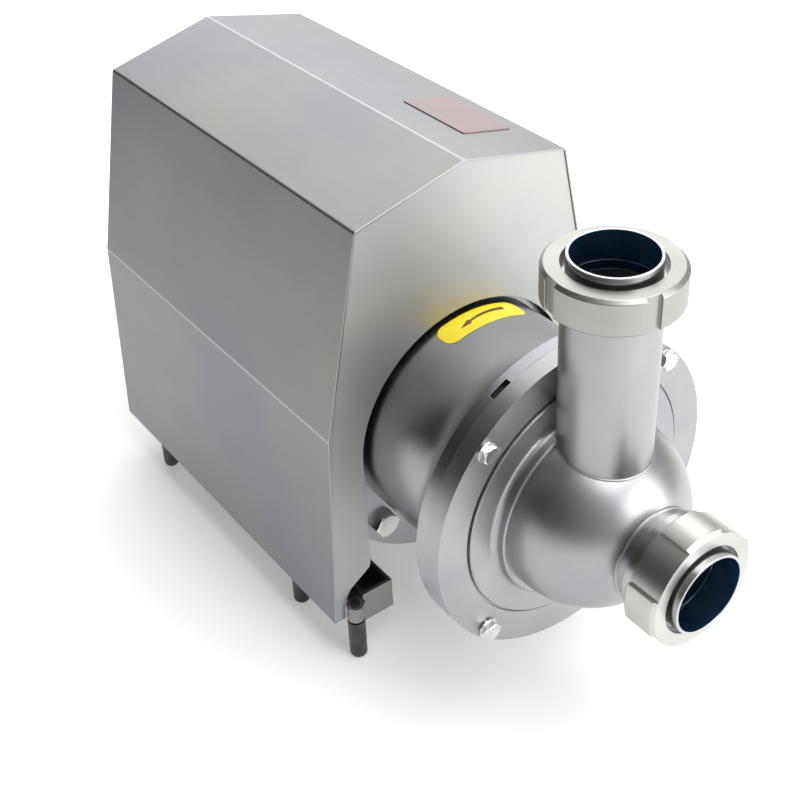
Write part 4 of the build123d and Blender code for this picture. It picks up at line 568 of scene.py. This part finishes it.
@dataclass
class NodeTreeBuilder:
    """Builds one geometry tree with named inputs and runs it on an object.

    Attributes:
        name: The tree's name.
        sizes: Each named number that the tree takes, in its order.
        tree: The tree being built.
        source: The node whose outputs are the tree's inputs.
    """

    name: str
    sizes: dict[str, float]
    tree: bpy.types.GeometryNodeTree = field(init=False)
    source: bpy.types.Node = field(init=False)

    def __post_init__(self) -> None:
        """Starts the tree with its inputs and its one output."""
        self.tree = bpy.data.node_groups.new(self.name, "GeometryNodeTree")
        face = self.tree.interface
        face.new_socket("Geometry", in_out="INPUT", socket_type="NodeSocketGeometry")
        for name in self.sizes:
            face.new_socket(name, in_out="INPUT", socket_type="NodeSocketFloat")
        face.new_socket("Finish", in_out="INPUT", socket_type="NodeSocketMaterial")
        face.new_socket("Geometry", in_out="OUTPUT", socket_type="NodeSocketGeometry")
        self.source = self.tree.nodes.new("NodeGroupInput")

    def end(self, shape: Outlet) -> None:
        """Realizes the shape, gives it the finish and links it to the output.

        Args:
            shape: The geometry to finish.
        """
        real = add(self.tree, "GeometryNodeRealizeInstances", {"Geometry": shape})
        finished = add(self.tree, "GeometryNodeSetMaterial", {
            "Geometry": real.outputs[0], "Material": self.source.outputs["Finish"]})
        add(self.tree, "NodeGroupOutput", {"Geometry": finished.outputs[0]})

    def run(self, piece: bpy.types.Object, finish: Finish, crease: float) -> bpy.types.Object:
        """Evaluates the tree on an object and keeps the result as its plain mesh.

        Args:
            piece: The object whose mesh goes in.
            finish: The finish that the result gets.
            crease: The angle in degrees above which an edge stays sharp.

        Returns:
            The same object, with no modifier left.
        """
        modifier = piece.modifiers.new(self.name, "NODES")
        modifier.node_group = self.tree
        for item in self.tree.interface.items_tree:
            if item.item_type == "SOCKET" and item.in_out == "INPUT":
                if item.name in self.sizes:
                    modifier[item.identifier] = self.sizes[item.name]
                elif item.name == "Finish":
                    modifier[item.identifier] = finish.material()
        graph = bpy.context.evaluated_depsgraph_get()
        made = bpy.data.meshes.new_from_object(piece.evaluated_get(graph), depsgraph=graph)
        piece.modifiers.remove(modifier)
        made.name = piece.name
        made.shade_smooth()
        made.set_sharp_from_angle(angle=radians(crease))
        piece.data = made
        return piece


@dataclass
class Workshop:
    """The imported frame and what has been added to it.

    Attributes:
        made: The names of the pieces made so far.
    """

    frame: dict
    made: list[str] = field(default_factory=list)

    def settle(self, piece: bpy.types.Object, body: str, slot: str, *nodes: str) -> None:
        """Lets a finished piece ride on its body, and reports it.

        Args:
            piece: The finished piece.
            body: The CAD body that it moves with.
            slot: The record's material slot; not used.
            *nodes: The CAD nodes that it stands for.
        """
        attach(piece, body)
        if nodes:
            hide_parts(*nodes)
        self.made.append(piece.name)
        LOG.info("%s: %d faces on %s", piece.name, len(piece.data.polygons), body)

    def dress_nodes(self) -> None:
        """Gives every CAD node its finish."""
        for name, node in self.frame["nodes"].items():
            dress(node, NODE_FINISHES[name])
            LOG.info("%s: %s", name, NODE_FINISHES[name].name)

    def refine(self, node: str, ending: str, body: str, slot: str, width: float) -> None:
        """Puts a copy in a CAD node's place, with its triangles joined and its sharp edges rounded.

        Args:
            node: The CAD node.
            ending: The last word of the copy's name.
            body: The CAD body that it moves with.
            slot: The record's material slot.
            width: The width of the rounding in millimetres.
        """
        mesh = self.frame["nodes"][node].data.copy()
        for layer in ("custom_normal", "sharp_edge", "sharp_face"):
            if layer in mesh.attributes:
                mesh.attributes.remove(mesh.attributes[layer])
        work = bmesh.new()
        work.from_mesh(mesh)
        bmesh.ops.remove_doubles(work, verts=work.verts, dist=COPIED_GAP)
        bmesh.ops.dissolve_limit(work, angle_limit=radians(FLAT_ANGLE), verts=work.verts, edges=work.edges)
        work.to_mesh(mesh)
        work.free()
        piece = place_mesh(f"{node}_{ending}", mesh, ROUNDED_CREASE)
        bevel = piece.modifiers.new("edge_round", "BEVEL")
        bevel.width = width * MM
        bevel.segments = ROUNDING_STEPS
        bevel.limit_method = "ANGLE"
        bevel.angle_limit = radians(ROUNDED_CREASE)
        bevel.harden_normals = True
        dress(piece, NODE_FINISHES[node])
        self.settle(piece, body, slot, node)


@dataclass
class Shroud:
    """The folded cover and its front panel.

    Attributes:
        edge_round: The rounding's width in millimetres.
    """

    edge_round: float = 0.35

    def build(self, shop: Workshop) -> None:
        """Rounds the sheet's cut edges, in the shop that settles the pieces."""
        for node in ("shroud_cover", "front_panel"):
            shop.refine(node, "sheet", "pump_frame", "shroud_steel", self.edge_round)


@dataclass
class BoltCircle:
    """Hexagon-head bolts round the shaft's axis, made once and repeated by a geometry tree.

    Attributes:
        name: The piece's name.
        node: The CAD node that it stands for.
        slot: The record's material slot.
        circle: The radius of the bolt circle.
        seat: Where the head or washer sits, along the pump.
        flats: The head's width across flats.
        head: The head's height.
        shank: The shank's radius.
        reach: How far the shank goes behind the seat.
        washer: The washer's radius and thickness, or zeros.
        nut: The nut's start behind the seat and its height, or zeros.
        count: How many bolts the circle has.
        first_angle: The first bolt's angle in degrees, from the right towards the top.
        seed: The seed of the heads' turns.
        corners: The flat face's radius as a share of half the flats, and the cut corners' slope in degrees.
        dish: The radius of the dish in that face as a share of it, and its depth.
        tip_cut: How far the shank's end is cut back, inwards and along.
        fit: The washer's clearance round the shank.
        washer_edge: The bevel on the washer's edges.
    """

    name: str
    node: str
    slot: str
    circle: float
    seat: float
    flats: float
    head: float
    shank: float
    reach: float
    washer: tuple[float, float] = (0.0, 0.0)
    nut: tuple[float, float] = (0.0, 0.0)
    count: int = 4
    first_angle: float = 45.0
    seed: int = 3
    corners: tuple[float, float] = (0.93, 28.0)
    dish: tuple[float, float] = (0.86, 0.12)
    tip_cut: tuple[float, float] = (0.6, 0.7)
    fit: float = 0.2
    washer_edge: float = 0.3

    def hexagon(self, bottom: float, height: float, both: bool) -> list[list[Vector]]:
        """The rings of a hexagon whose corners are cut by a cone.

        Args:
            bottom: Where it starts, forwards from the seat.
            height: Its height.
            both: Whether both faces have cut corners.

        Returns:
            Rings of points from bottom to top, with the bolt's axis along minus Y.
        """
        apothem = self.flats / 2
        angles = [2 * pi * i / TURNED_SAMPLES for i in range(TURNED_SAMPLES)]

        def reach(angle: float) -> float:
            """How far out the hexagon goes at an angle."""
            return apothem / cos((angle % (pi / 3)) - pi / 6)

        def ring(radius: Callable[[float], float], rise: Callable[[float], float]) -> list[Vector]:
            """One ring with its own radius and height at each angle."""
            return [Vector((radius(a) * cos(a), -rise(a), radius(a) * sin(a))) * MM for a in angles]

        cut, cone = apothem * self.corners[0], tan(radians(self.corners[1]))
        rings = [ring(lambda a: cut, lambda a: bottom)]
        low = (lambda a: bottom + (reach(a) - cut) * cone) if both else (lambda a: bottom)
        rings.append(ring(reach, low))
        rings.append(ring(reach, lambda a: bottom + height - (reach(a) - cut) * cone))
        rings.append(ring(lambda a: cut, lambda a: bottom + height))
        rings.append(ring(lambda a: cut * self.dish[0], lambda a: bottom + height - self.dish[1]))
        return rings

    def turned(self, profile: Sequence[tuple[float, float]]) -> list[list[Vector]]:
        """Rings of a turned shape.

        Args:
            profile: Radius and place forwards from the seat, in order.

        Returns:
            Rings of points about minus Y.
        """
        angles = [2 * pi * i / TURNED_SAMPLES for i in range(TURNED_SAMPLES)]
        return [[Vector((r * cos(a), -y, r * sin(a))) * MM for a in angles] for r, y in profile]

    def single(self) -> bpy.types.Mesh:
        """One bolt with its washer or nut, its seat at the origin."""
        radius, thick = self.washer
        end, (tip_in, tip_along) = -self.reach, self.tip_cut
        shapes = [loft(self.hexagon(thick, self.head, False)), loft(self.turned([
            (self.shank - tip_in, end), (self.shank, end + tip_along), (self.shank, thick)]))]
        if thick:
            hole, edge = self.shank + self.fit, self.washer_edge
            shapes.append(loft(self.turned([
                (hole, 0.0), (radius - edge, 0.0), (radius, edge), (radius, thick - edge),
                (radius - edge, thick), (hole, thick)])))
        start, height = self.nut
        if height:
            shapes.append(loft(self.hexagon(-start - height, height, True)))
        work = bmesh.new()
        for shape in shapes:
            work.from_mesh(shape)
            bpy.data.meshes.remove(shape)
        return finished_mesh(work, self.name)

    def build(self, shop: Workshop) -> None:
        """Repeats the bolt round the circle.

        Args:
            shop: The workshop that settles the piece.
        """
        maker = NodeTreeBuilder(f"{self.name}_circle", {
            "Circle Radius": self.circle * MM, "First Angle": radians(self.first_angle),
            "Seat Y": (self.seat + FRONT_EDGE_Y) * MM, "Axis Height": SHAFT_HEIGHT * MM, "Largest Turn": radians(60)})
        tree, source = maker.tree, maker.source
        circle = add(tree, "GeometryNodeMeshCircle", {
            "Vertices": self.count, "Radius": source.outputs["Circle Radius"]})
        turn = add(tree, "ShaderNodeCombineXYZ", {"Z": source.outputs["First Angle"]})
        turned = add(tree, "GeometryNodeTransform", {"Geometry": circle.outputs[0], "Rotation": turn.outputs[0]})
        place = add(tree, "ShaderNodeCombineXYZ", {
            "Y": source.outputs["Seat Y"], "Z": source.outputs["Axis Height"]})
        upright = add(tree, "GeometryNodeTransform", {
            "Geometry": turned.outputs[0], "Translation": place.outputs[0], "Rotation": (pi / 2, 0.0, 0.0)})
        loose = add(tree, "FunctionNodeRandomValue", {3: source.outputs["Largest Turn"], "Seed": self.seed},
                    data_type="FLOAT")
        spin = add(tree, "ShaderNodeCombineXYZ", {"Y": loose.outputs[1]})
        bolts = add(tree, "GeometryNodeInstanceOnPoints", {
            "Points": upright.outputs[0], "Instance": source.outputs["Geometry"], "Rotation": spin.outputs[0]})
        maker.end(bolts.outputs[0])
        piece = maker.run(place_mesh(self.name, self.single()), BOLT_STEEL, BOLT_CREASE)
        shop.settle(piece, "pump_frame", self.slot, self.node)


@dataclass
class WeldBead:
    """A ground weld that follows a closed line, swept by a geometry tree.

    Attributes:
        name: The piece's name.
        line: The point in millimetres at each share of the way round.
        radius: The bead's radius.
        finish: The finish that it shares with what it joins.
        slot: The record's material slot.
        samples: How many points its line has.
    """

    name: str
    line: Callable[[float], tuple[float, float, float]]
    radius: float
    finish: Finish
    slot: str
    samples: int = 160

    def build(self, shop: Workshop) -> None:
        """Sweeps the bead round its line.

        Args:
            shop: The workshop that settles the piece.
        """
        work = bmesh.new()
        points = [work.verts.new(at(*self.line(i / self.samples))) for i in range(self.samples)]
        for i, point in enumerate(points):
            work.edges.new((point, points[(i + 1) % self.samples]))
        piece = stand(self.name, finished_mesh(work, self.name))
        maker = NodeTreeBuilder(f"{self.name}_sweep", {"Bead Radius": self.radius * MM})
        tree, source = maker.tree, maker.source
        path = add(tree, "GeometryNodeMeshToCurve", {"Mesh": source.outputs["Geometry"]})
        section = add(tree, "GeometryNodeCurvePrimitiveCircle", {
            "Resolution": 16, "Radius": source.outputs["Bead Radius"]})
        swept = add(tree, "GeometryNodeCurveToMesh", {"Curve": path.outputs[0], "Profile Curve": section.outputs[0]})
        maker.end(swept.outputs[0])
        shop.settle(maker.run(piece, self.finish, WELD_CREASE), "pump_frame", self.slot)


@dataclass
class RotationLabel:
    """The yellow film round the drum's top and the arrow printed on it.

    Attributes:
        radius: The radius of the film's outer face.
        start: The angle of the film's left end, from straight up towards the right, in degrees.
        end: The angle of its right end.
        rear: Where its rear edge lies along the pump.
        width: Its width along the pump.
        corner: The radius of its corners.
        thick: Its thickness.
        tail: The angle and place of the arrow's tail.
        head: The angle and place of the arrow's point.
        bow: How far the arrow's middle bends towards the rear.
        tail_half: Half the width of the arrow's tail.
        taper: How much of that the arrow's shaft would lose over its whole length.
        barb: The share of the arrow where its head begins.
        barb_half: Half the width of the head where it begins.
        point_half: Half the width of its blunt point.
        ink_rise: How far the arrow's face stands over the film.
        ink_thick: The arrow's thickness, a little more than its rise, so that it sits in the film.
    """

    radius: float = 93.35
    start: float = -20.0
    end: float = 26.0
    rear: float = -1.0
    width: float = 21.0
    corner: float = 8.0
    thick: float = 0.28
    tail: tuple[float, float] = (16.4, -9.5)
    head: tuple[float, float] = (-10.1, -13.7)
    bow: float = 2.0
    tail_half: float = 1.9
    taper: float = 1.3
    barb: float = 0.76
    barb_half: float = 2.6
    point_half: float = 0.05
    ink_rise: float = 0.12
    ink_thick: float = 0.14

    def bent(self, spans: Sequence[tuple[float, float, float]], radius: float, thick: float) -> bpy.types.Mesh:
        """A thin strip laid round the drum.

        Args:
            spans: For each step round the drum, its angle in degrees and its two edges along the pump.
            radius: The radius of its outer face.
            thick: Its thickness.

        Returns:
            A closed mesh.
        """
        def ring(angle: float, rear: float, front: float) -> list[Vector]:
            """The strip's outline at one angle: outer face, then inner face."""
            turn = radians(angle)
            across = [rear + (front - rear) * i / ACROSS_STEPS for i in range(ACROSS_STEPS + 1)]
            outer = [(radius, y) for y in across]
            inner = [(radius - thick, y) for y in reversed(across)]
            return [at(r * sin(turn), y, r * cos(turn)) for r, y in outer + inner]

        return loft([ring(*span) for span in spans])

    def build(self, shop: Workshop) -> None:
        """Lays the film and the arrow.

        Args:
            shop: The workshop that settles the pieces.
        """
        per_degree = radians(1) * self.radius
        length = (self.end - self.start) * per_degree
        spans = []
        for i in range(FILM_STEPS + 1):
            share = (1 - cos(pi * i / FILM_STEPS)) / 2
            along = share * length
            inset = max(0.0, self.corner - min(along, length - along))
            drawn_in = self.corner - sqrt(max(0.0, self.corner ** 2 - inset ** 2))
            spans.append((self.start + along / per_degree, self.rear - drawn_in, self.rear - self.width + drawn_in))
        film = place_mesh("rotation_label_film", self.bent(spans, self.radius, self.thick))
        dress(film, LABEL_FILM)
        shop.settle(film, "pump_frame", "label_film", "rotation_label")
        steps = []
        for i in range(ARROW_STEPS + 1):
            share = i / ARROW_STEPS
            angle = self.tail[0] + (self.head[0] - self.tail[0]) * share
            middle = self.tail[1] + (self.head[1] - self.tail[1]) * share + self.bow * sin(pi * share)
            if share < self.barb:
                half = self.tail_half - self.taper * share
            else:
                half = self.barb_half * (1 - share) / (1 - self.barb) + self.point_half
            steps.append((angle, middle + half, middle - half))
        arrow = place_mesh("rotation_arrow", self.bent(steps, self.radius + self.ink_rise, self.ink_thick))
        dress(arrow, ARROW_INK)
        shop.settle(arrow, "pump_frame", "label_film")


@dataclass
class WetEnd:
    """The drum, the casing and its welds.

    Attributes:
        bulb: The bulb's radius.
        bulb_y: Where its middle lies along the pump.
        pipe: The delivery pipe's radius.
        neck: The inlet neck's radius.
        weld: The radius of the weld beads.
        edge_round: The rounding's width on the castings.
    """

    bulb: float = 71.0
    bulb_y: float = -134.5
    pipe: float = 32.75
    neck: float = 35.0
    weld: float = 1.0
    edge_round: float = 0.5

    def saddle(self, share: float) -> tuple[float, float, float]:
        """A point of the line where the delivery pipe meets the bulb."""
        turn = 2 * pi * share
        x, y = self.pipe * cos(turn), DELIVERY_Y + self.pipe * sin(turn)
        return x, y, sqrt(self.bulb ** 2 - x ** 2 - (y - self.bulb_y) ** 2)

    def collar(self, share: float) -> tuple[float, float, float]:
        """A point of the line where the inlet neck meets the bulb."""
        turn = 2 * pi * share
        return self.neck * cos(turn), self.bulb_y - sqrt(self.bulb ** 2 - self.neck ** 2), self.neck * sin(turn)

    def build(self, shop: Workshop) -> None:
        """Rounds the castings' edges and adds their welds.

        Args:
            shop: The workshop that settles the pieces.
        """
        for node, slot in (("lantern", "lantern_steel"), ("casing_cover", "casing_steel")):
            shop.refine(node, "body", "pump_frame", slot, self.edge_round)
        for name, line in (("delivery_pipe_weld", self.saddle), ("inlet_neck_weld", self.collar)):
            WeldBead(name, line, self.weld, CASING_STEEL, "casing_steel").build(shop)


@dataclass
class Union:
    """One hygienic pipe union: male end, round nut and liner.

    Attributes:
        side: The first word of its nodes' names.
        edge_round: The rounding's width on the male end and the nut.
        liner_round: Its width on the liner.
    """

    side: str
    edge_round: float = 0.5
    liner_round: float = 0.3

    def build(self, shop: Workshop) -> None:
        """Rounds the edges of the three turned pieces, each on its own body.

        Args:
            shop: The workshop that settles the pieces.
        """
        for part, body, slot, width in (
                ("male_end", "pump_frame", "union_steel", self.edge_round),
                ("nut", f"{self.side}_nut", "nut_steel", self.edge_round),
                ("liner", f"{self.side}_liner", "liner_steel", self.liner_round)):
            shop.refine(f"{self.side}_{part}", "turned", body, slot, width)


@dataclass(frozen=True)
class Softbox:
    """One large soft lamp.

    Attributes:
        name: Its name.
        place: Where it stands, in metres.
        aim: The point that it faces.
        size: Its side in metres.
        watts: Its power.
    """

    name: str
    place: tuple[float, float, float]
    aim: tuple[float, float, float]
    size: float
    watts: float

    def build(self) -> None:
        """Adds the lamp to the scene."""
        data = bpy.data.lights.new(self.name, "AREA")
        data.shape, data.size, data.energy = "SQUARE", self.size, self.watts
        lamp = stand(self.name, data)
        lamp.location = self.place
        lamp.rotation_euler = (Vector(self.aim) - Vector(self.place)).to_track_quat("-Z", "Y").to_euler()


@dataclass
class Studio:
    """The camera, the floor, the world and the lamps.

    Attributes:
        place: The camera's place in metres.
        azimuth: Its direction round the pump in degrees.
        elevation: Its height over the horizon in degrees.
        roll: Its turn about its own line of sight in degrees.
        lens: Its focal length in millimetres.
        shift: How far its frame is moved, as shares of the width.
        sensor: The width of its sensor in millimetres.
        clip: The nearest and the farthest that it sees, in metres.
        floor_radius: The floor's radius in metres.
        floor_glow: How much it shines to the camera and in reflections, to stay pale.
        bright_way: The direction that the world is brightest in.
        world_light: The world's strength on its dark and on its bright side.
        world_reach: How far along that direction, each side of the middle, it changes.
        lamps: The soft lamps.
    """

    place: tuple[float, float, float] = (-0.5102, -0.69655, 0.8228)
    azimuth: float = -35.07
    elevation: float = 33.94
    roll: float = -2.67
    lens: float = 61.106
    shift: tuple[float, float] = (-0.003, -0.1005)
    sensor: float = 36.0
    clip: tuple[float, float] = (0.01, 60.0)
    floor_radius: float = 9.0
    floor_glow: float = 0.28
    bright_way: tuple[float, float, float] = (0.76, -0.53, 0.38)
    world_light: tuple[float, float] = (0.03, 0.6)
    world_reach: float = 0.8
    lamps: tuple[Softbox, ...] = (
        Softbox("rear_softbox", (0.95, 1.60, 1.60), (0.0, 0.1, 0.3), 2.4, 37.0),
        Softbox("overhead_softbox", (0.25, -0.75, 2.10), (0.0, -0.1, 0.2), 1.5, 30.0),
        Softbox("front_right_softbox", (0.95, -2.10, 0.80), (0.0, -0.15, 0.2), 2.0, 48.0),
    )

    def camera(self) -> None:
        """Adds the camera and makes it the scene's own."""
        data = bpy.data.cameras.new("camera")
        data.sensor_width, data.lens = self.sensor, self.lens
        data.shift_x, data.shift_y = self.shift
        data.clip_start, data.clip_end = self.clip
        camera = stand("camera", data)
        camera.location = self.place
        turn = (Matrix.Rotation(radians(self.azimuth), 3, "Z")
                @ Matrix.Rotation(radians(90 - self.elevation), 3, "X")
                @ Matrix.Rotation(radians(self.roll), 3, "Z"))
        camera.rotation_euler = turn.to_euler()
        bpy.context.scene.camera = camera

    def floor(self, height: float) -> None:
        """Lays a round white floor.

        Args:
            height: The height that the feet stand at.
        """
        work = bmesh.new()
        bmesh.ops.create_circle(work, cap_ends=True, segments=96, radius=self.floor_radius,
                                matrix=Matrix.Translation((0.0, 0.0, height)))
        floor = stand("floor", finished_mesh(work, "floor"))
        paint = bpy.data.materials.new("white_floor")
        paint.use_nodes = True
        tree = paint.node_tree
        shader = tree.nodes["Principled BSDF"]
        shader.inputs["Base Color"].default_value = linear("#f1f1f1")
        shader.inputs["Roughness"].default_value = 0.9
        shader.inputs["Emission Color"].default_value = linear("#ffffff")
        path = add(tree, "ShaderNodeLightPath")
        seen = worked(tree, "MAXIMUM", path.outputs["Is Camera Ray"], path.outputs["Is Glossy Ray"])
        shown = worked(tree, "MAXIMUM", seen, path.outputs["Is Transmission Ray"])
        glow = worked(tree, "MULTIPLY", shown, self.floor_glow)
        tree.links.new(glow, shader.inputs["Emission Strength"])
        floor.data.materials.append(paint)
        floor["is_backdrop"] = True

    def world(self) -> None:
        """A plain studio room, darker on the camera's left than on its right."""
        world = bpy.data.worlds.new("studio_room")
        bpy.context.scene.world = world
        world.use_nodes = True
        tree = world.node_tree
        back = tree.nodes["Background"]
        back.inputs["Color"].default_value = linear("#ffffff")
        way = add(tree, "ShaderNodeTexCoord").outputs["Generated"]
        side = add(tree, "ShaderNodeVectorMath", {0: way, 1: self.bright_way}, operation="DOT_PRODUCT")
        level = ramp(tree, side.outputs["Value"], -self.world_reach, self.world_reach, *self.world_light,
                     "SMOOTHSTEP")
        tree.links.new(level, back.inputs["Strength"])

    def build(self, height: float) -> None:
        """Sets the whole studio up.

        Args:
            height: The height that the feet stand at.
        """
        bpy.context.scene.view_settings.view_transform = "Standard"
        self.camera()
        self.floor(height)
        self.world()
        for lamp in self.lamps:
            lamp.build()
        LOG.info("studio: %d lamps", len(self.lamps))


def main() -> None:
    """Loads the frame, measures its box, dresses it, adds the finer pieces and sets the studio up."""
    logging.basicConfig(level=logging.INFO, format="%(name)s: %(message)s")
    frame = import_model()
    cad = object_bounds()
    shop = Workshop(frame)
    shop.dress_nodes()
    Shroud().build(shop)
    WetEnd().build(shop)
    Union("inlet").build(shop)
    Union("outlet").build(shop)
    BoltCircle("casing_hex_bolts", "casing_bolts", "casing_bolt_steel", 114.0, -120.0, 13.0, 5.3, 4.0, 12.0,
               washer=(8.0, 1.6)).build(shop)
    BoltCircle("lantern_hex_bolts", "lantern_bolts", "fastener_steel", 107.5, 12.0, 19.0, 7.5, 6.0, 32.0,
               nut=(20.0, 10.0), seed=8).build(shop)
    RotationLabel().build(shop)
    Studio().build(cad[0].z)
    LOG.info("pieces made: %d, nodes dressed: %d", len(shop.made), len(frame["nodes"]))


if __name__ == "__main__":
    main()
